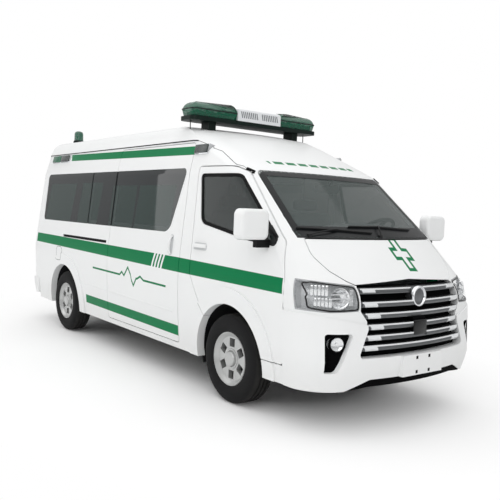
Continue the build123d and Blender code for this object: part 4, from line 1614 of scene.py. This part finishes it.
    @staticmethod
    def _spin_local(shape: Shape, local: Matrix, rows: Rows, steps: int = 36) -> None:
        """Revolve a profile about the outward axis of a local frame.

        Args:
            shape: Shape to add to.
            local: Local frame.
            rows: Depth and radius of each profile point.
            steps: Facets of the turn.
        """
        turn = local.to_3x3()
        shape.lathe(rows, local.translation, turn.col[2], turn.col[0], steps)

    def _fog_lamp(self, side: Side) -> None:
        """Ring, bowl and ribs of one fog-lamp pocket.

        Args:
            side: Side of the vehicle.
        """
        tag, sign = side.tag, side.value
        local = self._frame(self.fog_place[0] * sign, self.fog_place[1])
        ring = Shape()
        self._spin_local(ring, local, self.fog_ring)
        for z in self.fog_ribs:
            path = [self.shop.skin.front(sign * (0.700 + 0.010 * k), z) for k in range(5)]
            ring.sweep(strip_rings(path, 0.011, 0.007, 0.001))
        self.shop.fit(ring, f"fog_bezel_{tag}", "grille_black", "black_plastic")
        bowl = Shape()
        self._spin_local(bowl, local, self.fog_bowl)
        self.shop.fit(bowl, f"fog_reflector_{tag}", "lamp_reflector", "chrome_trim")


@dataclass
class SideTrim:
    """Gutters, mouldings, handles and lamp bezels of the body sides."""

    shop: Workshop

    gutter: Rows = ((-2.40, 1.968), (0.80, 1.967), (0.88, 1.962))
    pillar: Rows = ((0.88, 1.962), (1.20, 1.872), (1.52, 1.722))
    gutter_end: Rows = ((1.520, 1.722), (1.590, 1.694))
    pane_gaps: Rows = ((-1.015, 0.011), (-0.4642, 0.006), (-0.4525, 0.006))
    pane_heights: Row = (1.208, 1.736)
    mouldings: Rows = ((-0.991, -0.470), (-0.440, 0.771))
    door_dish: Rows = ((1.055, 1.093), (1.240, 1.150))
    slide_dish: Rows = ((0.688, 1.020), (0.740, 1.190))
    fuel_flap: Rows = ((-1.785, 0.770), (-1.625, 0.920))
    lamps: Rows = (
        (0.890, 1.070, 1.850, 1.920), (-2.235, -2.000, 1.875, 1.950), (-1.990, -1.755, 1.875, 1.950),
    )

    def build(self) -> None:
        """Make the trim of both sides."""
        for side in Side:
            self._gutter(side)
            self._pane_lines(side)
            self._moulding(side)
            self._door_handle(side)
            self._lamps(side)
        self._slide_handle()
        self._fuel_flap()

    def _path(self, rows: tuple, side: Side, pitch: float = 0.05) -> list[tuple[Vector, Vector]]:
        """Path on a body side from length and height rows."""
        flat = spread([Vector(row) for row in rows], pitch)
        return [self.shop.skin.side(p.x, p.y, side) for p in flat]

    def _gutter(self, side: Side) -> None:
        """Dark gutter line and its rubber end.

        Args:
            side: Side of the vehicle.
        """
        shape = Shape()
        shape.sweep(strip_rings(self._path(self.gutter, side), 0.009, 0.005))
        shape.sweep(strip_rings(self._path(self.pillar, side), 0.004, 0.002))
        shape.sweep(strip_rings(self._path(self.gutter_end, side, 0.02), 0.022, 0.009))
        self.shop.fit(shape, f"gutter_{side.tag}", "seam_sealer", "black_plastic")

    def _pane_lines(self, side: Side) -> None:
        """Dark sealing lines between the bonded panes.

        Args:
            side: Side of the vehicle.
        """
        shape = Shape()
        for x, width in self.pane_gaps:
            rows = tuple((x, z) for z in self.pane_heights)
            shape.sweep(strip_rings(self._path(rows, side), width, 0.0012, 0.004))
        self.shop.fit(shape, f"pane_lines_{side.tag}", "frit_print", "black_plastic")

    def _moulding(self, side: Side) -> None:
        """Raised line low on the side.

        Args:
            side: Side of the vehicle.
        """
        shape = Shape()
        for ends in self.mouldings:
            rows = tuple((x, 0.5725 - 0.0148 * x) for x in ends)
            shape.sweep(strip_rings(self._path(rows, side), 0.016, 0.004))
        self.shop.fit(shape, f"side_moulding_{side.tag}", "plain_white_paint", "white_paint")

    def _dish(self, name: str, box: Rows, radius: float, side: Side, body: str) -> None:
        """Flat plate behind a handle in a darker white: painted shade of the recess.

        Args:
            name: Piece name.
            box: Lowest and highest corner, as length and height.
            radius: Corner radius.
            side: Side of the vehicle.
            body: Body that it rides on.
        """
        spots = [self.shop.skin.side(p.x, p.y, side) for p in rounded_box(*box, radius)]
        dish = Shape()
        dish.plate([p - n * 0.001 for p, n in spots], spots[0][1] * 0.002)
        self.shop.fit(dish, name, "shaded_white", "white_paint", body)

    def _door_handle(self, side: Side) -> None:
        """Painted recess shade and pull of one cab door.

        Args:
            side: Side of the vehicle.
        """
        door = f"door_{side.tag}"
        self._dish(f"handle_dish_{side.tag}", self.door_dish, 0.03, side, door)
        pull = Shape()
        points = []
        for step in range(13):
            share = step / 12
            point, normal = self.shop.skin.side(1.062 + 0.170 * share, 1.126, side)
            points.append((point + normal * (0.004 + 0.022 * math.sin(math.pi * share) ** 0.5), normal))
        pull.sweep(strip_rings(points, 0.030, 0.007, 0.006))
        self.shop.fit(pull, f"handle_pull_{side.tag}", "plain_white_paint", "white_paint", door)

    def _slide_handle(self) -> None:
        """Upright handle of the sliding door."""
        points = []
        for step in range(11):
            share = step / 10
            point, normal = self.shop.skin.side(0.714, 1.030 + 0.150 * share)
            points.append((point + normal * (0.004 + 0.024 * math.sin(math.pi * share) ** 0.5), normal))
        pull = Shape()
        pull.sweep(strip_rings(points, 0.026, 0.008, 0.006))
        self.shop.fit(pull, "slide_handle_pull", "plain_white_paint", "white_paint")
        self._dish("slide_handle_dish", self.slide_dish, 0.02, Side.RIGHT, "van")

    def _fuel_flap(self) -> None:
        """Edge line of the round-cornered fuel flap."""
        loop = spread(rounded_box(*self.fuel_flap, 0.05), 0.04, True)
        path = [self.shop.skin.side(p.x, p.y) for p in loop]
        shape = Shape()
        shape.sweep(strip_rings(path, 0.004, 0.0006, 0.001, True), True)
        self.shop.fit(shape, "fuel_flap_edge", "seam_sealer", "black_plastic")

    def _lamps(self, side: Side) -> None:
        """Flat warning lamps in their bright frames.

        Args:
            side: Side of the vehicle.
        """
        lens = Shape()
        frame = Shape()
        for x0, x1, z0, z1 in self.lamps:
            middle = (z0 + z1) / 2.0
            spots = [self.shop.skin.side(x, middle, side) for x in (x0, x1)]
            reach = max(abs(point.y) for point, _ in spots)
            tilt = side.value * math.degrees(math.atan2(spots[0][1].z, abs(spots[0][1].y)))
            for shape, grow, out in ((lens, 0.0, 0.022), (frame, 0.007, 0.012)):
                near, far = sorted((side.value * (reach - 0.05), side.value * (reach + out)))
                made = shape.cube((x0 - grow, near, z0 - grow), (x1 + grow, far, z1 + grow), 0.005, 2)
                shape.turn(made, tilt, "X", Vector((0.0, side.value * reach, middle)))
        made = self.shop.fit(lens, f"side_lamps_{side.tag}", "side_lamp_lens", "grey_lens")
        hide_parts("warning_lamps")
        self.shop.fit(frame, f"side_lamp_frames_{side.tag}", "bright_chrome", "chrome_trim")


@dataclass
class RoadWheels:
    """Treaded tyres, wheel covers and brake drums."""

    shop: Workshop

    tyre: Rows = (
        (-0.0835, 0.1960), (-0.0900, 0.2060), (-0.0945, 0.2220), (-0.0975, 0.2500), (-0.0965, 0.2750),
        (-0.0915, 0.2930), (-0.0840, 0.3070), (-0.0735, 0.3190), (-0.0620, 0.3243), (-0.0400, 0.3262),
        (-0.0385, 0.3190), (-0.0305, 0.3190), (-0.0290, 0.3267), (-0.0050, 0.3270), (-0.0038, 0.3195),
    )
    cap: Rows = (
        (-0.0800, 0.0540), (-0.0860, 0.0500), (-0.0885, 0.0380), (-0.0900, 0.0200), (-0.0905, 0.0),
    )
    ring: Rows = (
        (-0.0620, 0.0740), (-0.0670, 0.0720), (-0.0690, 0.0660), (-0.0680, 0.0600), (-0.0620, 0.0590),
    )
    edge: Rows = (
        (-0.0830, 0.1945), (-0.0870, 0.1930), (-0.0875, 0.1880), (-0.0800, 0.1850), (-0.0760, 0.1850),
    )
    drum: Rows = ((-0.0200, 0.0), (-0.0200, 0.140), (-0.0140, 0.146), (0.0500, 0.146), (0.0500, 0.062))

    def build(self) -> None:
        """Make the four wheels."""
        for end, axle in (("front", FRONT_AXLE), ("rear", REAR_AXLE)):
            for side in Side:
                self._wheel(f"{end}_{side.tag}", axle, side)

    def _revolve(self, rows: Rows, axle: float, side: Side, steps: int) -> Shape:
        """Shape revolved about a wheel axis.

        Args:
            rows: Distance inboard of the wheel's middle and radius.
            axle: Axle position.
            side: Side of the vehicle.
            steps: Facets of the turn.

        Returns:
            The shape.
        """
        centre = Vector((axle, side.value * TRACK_HALF, TYRE_R))
        shape = Shape()
        profile = [centre + Vector((0.0, -side.value * inboard, radius)) for inboard, radius in rows]
        shape.spin(profile, centre, Vector((0.0, 1.0, 0.0)), steps)
        return shape

    def _wheel(self, name: str, axle: float, side: Side) -> None:
        """Dress one wheel.

        Args:
            name: End and side of the wheel.
            axle: Axle position.
            side: Side of the vehicle.
        """
        body = f"wheel_{name}"
        rows = self.tyre + tuple((-a, r) for a, r in reversed(self.tyre))
        tread = self._revolve(rows + rows[:1], axle, side, 96)
        made = self.shop.fit(tread, f"tyre_{name}_tread", "tyre_rubber", "tyre_rubber", body)
        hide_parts(f"tyre_{name}")
        self.shop.panel(body, "wheel_silver", "wheel_silver", 0.0015)
        for part, rows, finish, slot, steps in (
            ("cap", self.cap, "wheel_silver", "wheel_silver", 40),
            ("cap_ring", self.ring, "wheel_silver", "wheel_silver", 48),
            ("edge_ring", self.edge, "wheel_silver", "wheel_silver", 72),
            ("drum", self.drum, "steel_rim", "chassis_steel", 40),
        ):
            shape = self._revolve(rows, axle, side, steps)
            self.shop.fit(shape, f"{body}_{part}", finish, slot, body)


@dataclass
class RoofLights:
    """Light bar and beacon fittings."""

    shop: Workshop

    bar_x: float = 0.655
    bar_half: float = 0.110
    bar_end: float = 0.694
    bar_corner: float = 0.07
    lens_start: float = 0.242
    seam_start: float = 0.246
    seam_z: float = 2.244
    levels: Rows = (
        (2.184, 0.016), (2.240, 0.0), (2.252, 0.002), (2.280, 0.018), (2.298, 0.040), (2.307, 0.070),
    )
    modules: Row = (0.335, 0.465, 0.590)
    beacon: Row = (-2.375, -0.370, 2.172)
    beacon_dome: Rows = (
        (0.0, 0.0), (0.0, 0.054), (0.096, 0.052), (0.116, 0.044), (0.126, 0.026), (0.126, 0.0),
    )
    beacon_collar: Rows = ((-0.006, 0.060), (0.008, 0.0605), (0.012, 0.057), (0.008, 0.0545))
    beacon_reflector: Rows = ((0.010, 0.012), (0.040, 0.014), (0.070, 0.034), (0.100, 0.040))

    def build(self) -> None:
        """Make the fittings on the roof."""
        self._lenses()
        self._seams()
        self._modules()
        self._slots()
        self._struts()
        self._beacon()

    def _plan(self, side: Side, start: float) -> list[Vector]:
        """Outline of one end lens from above.

        Args:
            side: Side of the vehicle.
            start: Width coordinate of its inner end.

        Returns:
            Flat points in order.
        """
        front, back = self.bar_x - self.bar_half, self.bar_x + self.bar_half
        inner, outer = start * side.value, self.bar_end * side.value
        round_end = self.bar_corner
        corners = [
            (front, inner, 0.002), (back, inner, 0.002), (back, outer, round_end), (front, outer, round_end),
        ]
        return rounded_loop(corners, 8)

    def _turned(self, shape: Shape, rows: Rows, steps: int) -> None:
        """Add a turned part of the beacon."""
        shape.lathe(rows, Vector(self.beacon), Vector(UPWARDS), Vector((1.0, 0.0, 0.0)), steps)

    def _seams(self) -> None:
        """Parting line round each end lens."""
        shape = Shape()
        for side in Side:
            loop = spread(self._plan(side, self.seam_start), 0.05, True)
            path = []
            for p, q in zip(loop, shift_loop(loop, 1.0)):
                path.append((Vector((p.x, p.y, self.seam_z)), Vector((q.x - p.x, q.y - p.y, 0.0))))
            shape.sweep(strip_rings(path, 0.009, 0.0035, 0.002, True), True)
        self.shop.fit(shape, "light_bar_seams", "black_moulding", "black_plastic")

    def _lenses(self) -> None:
        """Tapered end lenses and the beacon dome."""
        shape = Shape()
        for side in Side:
            plan = self._plan(side, self.lens_start)
            rings = []
            for z, inset in self.levels:
                ring = [Vector((p.x, p.y, z)) for p in shift_loop(plan, -inset)]
                for point in ring:
                    point.y = side.value * max(abs(point.y), self.lens_start)
                rings.append(ring)
            shape.sweep(rings)
        self._turned(shape, self.beacon_dome, 32)
        made = self.shop.fit(shape, "light_lenses", "green_lens", "green_lens")
        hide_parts("warning_light_lenses")

    def _modules(self) -> None:
        """Dark lamp modules and bright reflectors inside the end lenses."""
        dark = Shape()
        bright = Shape()
        for side in Side:
            for y in self.modules:
                centre = Vector((self.bar_x, side.value * y, 2.188))
                reach = Vector((0.085, 0.048, 0.0))
                dark.cube(centre - reach, centre + reach + Vector((0.0, 0.0, 0.040)), 0.006)
                rows = ((0.040, 0.026), (0.052, 0.040), (0.080, 0.046))
                bright.lathe(rows, centre, Vector(UPWARDS), Vector((1.0, 0.0, 0.0)), 20)
        self.shop.fit(dark, "light_bar_modules", "black_moulding", "black_plastic")
        self.shop.fit(bright, "light_bar_reflectors", "lamp_reflector", "chrome_trim")

    def _slots(self) -> None:
        """Sound slots of the middle cover, as grey plates: painted shade inside the slots."""
        shape = Shape()
        for face in (-1.0, 1.0):
            for group in (-1.0, 1.0):
                for index in range(9):
                    y = group * (0.030 + 0.021 * index)
                    x = self.bar_x + face * 0.1178
                    low, high = (x - 0.0012, y - 0.005, 2.212), (x + 0.0012, y + 0.005, 2.268)
                    made = shape.cube(low, high, 0.001, 1)
                    shape.turn(made, 14.0, "X", Vector((x, y, 2.240)))
        self.shop.fit(shape, "light_bar_slots", "shaded_grey", "black_plastic")

    def _struts(self) -> None:
        """Thin stays from the bar ends to the gutters."""
        shape = Shape()
        for side in Side:
            edge, _ = self.shop.skin.top(0.640, side.value * 0.640)
            start = Vector((0.640, side.value * 0.640, 2.160))
            shape.sweep(tube_rings([start, edge], 0.004, 8))
        self.shop.fit(shape, "light_bar_stays", "black_moulding", "black_plastic")

    def _beacon(self) -> None:
        """Collar and reflector of the beacon."""
        collar = Shape()
        self._turned(collar, self.beacon_collar, 32)
        self.shop.fit(collar, "beacon_collar", "black_moulding", "black_plastic")
        lamp = Shape()
        self._turned(lamp, self.beacon_reflector, 24)
        self.shop.fit(lamp, "beacon_reflector", "lamp_reflector", "chrome_trim")


@dataclass
class Cab:
    """Padded seats and dashboard fittings."""

    shop: Workshop

    cushions: tuple[tuple[str, Row, Row, float, float, float], ...] = (
        ("seat_base", (1.090, 0.792), (1.570, 0.950), 0.0, 0.235, 0.045),
        ("seat_back", (1.045, 0.900), (1.185, 1.420), -10.0, 0.225, 0.045),
        ("seat_head", (1.035, 1.432), (1.125, 1.540), -10.0, 0.130, 0.035),
    )

    seat_y: float = 0.400
    lean_z: float = 0.92
    fill: float = 0.8

    def build(self) -> None:
        """Make the cab fittings."""
        self._seats()
        self._dash()

    def _seats(self) -> None:
        """Cushions of both seats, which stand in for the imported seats."""
        for side in Side:
            for name, low, high, lean, half, rounding in self.cushions:
                shape = Shape()
                middle = side.value * self.seat_y
                near, far = (low[0], middle - half, low[1]), (high[0], middle + half, high[1])
                made = shape.cube(near, far, rounding, 3)
                centre = Vector(((low[0] + high[0]) / 2.0, middle, self.lean_z))
                shape.turn(made, lean, "Y", centre)
                piece = self.shop.fit(shape, f"{name}_{side.tag}", "seat_cloth", "seat_fabric")
                smooth = piece.modifiers.new("soft", "SUBSURF")
                smooth.levels = 2
                smooth.render_levels = 2
                if name == "seat_base" and side is Side.RIGHT:
                    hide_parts("front_seats")

    def _dash(self) -> None:
        """Instrument hood, vents and a flat block low on the dash."""
        hood = Shape()
        hood.cube((1.800, 0.230, 1.235), (1.960, 0.570, 1.300), 0.024, 3)
        for y in (-0.560, -0.060, 0.060):
            hood.cube((1.846, y - 0.050, 1.120), (1.862, y + 0.050, 1.180), 0.006)
        hood.cube((1.842, -0.560, 1.030), (1.858, -0.200, 1.100), 0.008)
        self.shop.fit(hood, "dash_fittings", "dash_moulding", "black_plastic")


@dataclass(frozen=True)
class TailStrip:
    """A low strip along a row of points on the tail."""

    name: str
    finish: str
    slot: str
    body: str
    start: float
    pitch: float
    count: int
    heights: Row
    section: Row
    paired: bool = False

    def build(self, shop: Workshop) -> None:
        """Make the strip, on both sides where it is one of a pair.

        Args:
            shop: Finishes and body surface.
        """
        shape = Shape()
        for sign in (-1.0, 1.0) if self.paired else (1.0,):
            for z in self.heights:
                widths = [sign * (self.start + self.pitch * k) for k in range(self.count)]
                path = [shop.skin.rear(y, z) for y in widths]
                shape.sweep(strip_rings(path, *self.section))
        shop.fit(shape, self.name, self.finish, self.slot, self.body)


@dataclass
class RearEnd:
    """Tailgate grip, stop lamp, lamp divisions and bumper fittings."""

    shop: Workshop

    strips: tuple[TailStrip, ...] = (
        TailStrip(
            "tailgate_grip", "plain_white_paint", "white_paint", "tailgate",
            start=-0.40, pitch=0.05, count=17, heights=(1.120,), section=(0.055, 0.018, 0.004),
        ),
        TailStrip(
            "stop_lamp", "red_lens", "red_lens", "tailgate",
            start=-0.15, pitch=0.025, count=13, heights=(1.830,), section=(0.026, 0.010, 0.003),
        ),
        TailStrip(
            "tail_lamp_lines", "gloss_black", "black_plastic", "van",
            start=0.735, pitch=0.012, count=7, heights=(0.872, 1.000), section=(0.006, 0.002, 0.001),
            paired=True,
        ),
        TailStrip(
            "bumper_pad", "black_moulding", "black_plastic", "van",
            start=-0.55, pitch=0.05, count=23, heights=(0.470,), section=(0.040, 0.004, 0.002),
        ),
        TailStrip(
            "bumper_reflectors", "red_lens", "red_lens", "van",
            start=0.585, pitch=0.02, count=6, heights=(0.385,), section=(0.034, 0.004, 0.002),
            paired=True,
        ),
    )

    def build(self) -> None:
        """Make the rear fittings."""
        for strip in self.strips:
            strip.build(self.shop)


@dataclass
class Mirrors:
    """Glass of the door mirrors."""

    shop: Workshop

    low: Row = (1.9088, 0.875, 1.252)
    high: Row = (1.9110, 1.045, 1.402)

    def build(self) -> None:
        """Make both mirror glasses."""
        for side in Side:
            shape = Shape()
            near, far = sorted((side.value * self.low[1], side.value * self.high[1]))
            low, high = (self.low[0], near, self.low[2]), (self.high[0], far, self.high[2])
            shape.cube(low, high, 0.0008, 1)
            name, door = f"mirror_glass_{side.tag}", f"door_{side.tag}"
            self.shop.fit(shape, name, "mirror_silver", "chrome_trim", door)


def main() -> None:
    """Build the scene in order."""
    logging.basicConfig(level=logging.INFO)
    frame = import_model()
    bpy.context.scene.view_settings.view_transform = "Standard"
    shop = Workshop(frame["nodes"], Finishes(), Skin(frame["nodes"]))
    Stage().build()
    BodyShell(shop).build()
    PlainNodes(shop).build()
    for assembly in (Glazing, FrontEnd, SideTrim, RoadWheels, RoofLights, Cab, RearEnd, Mirrors):
        assembly(shop).build()


if __name__ == "__main__":
    main()
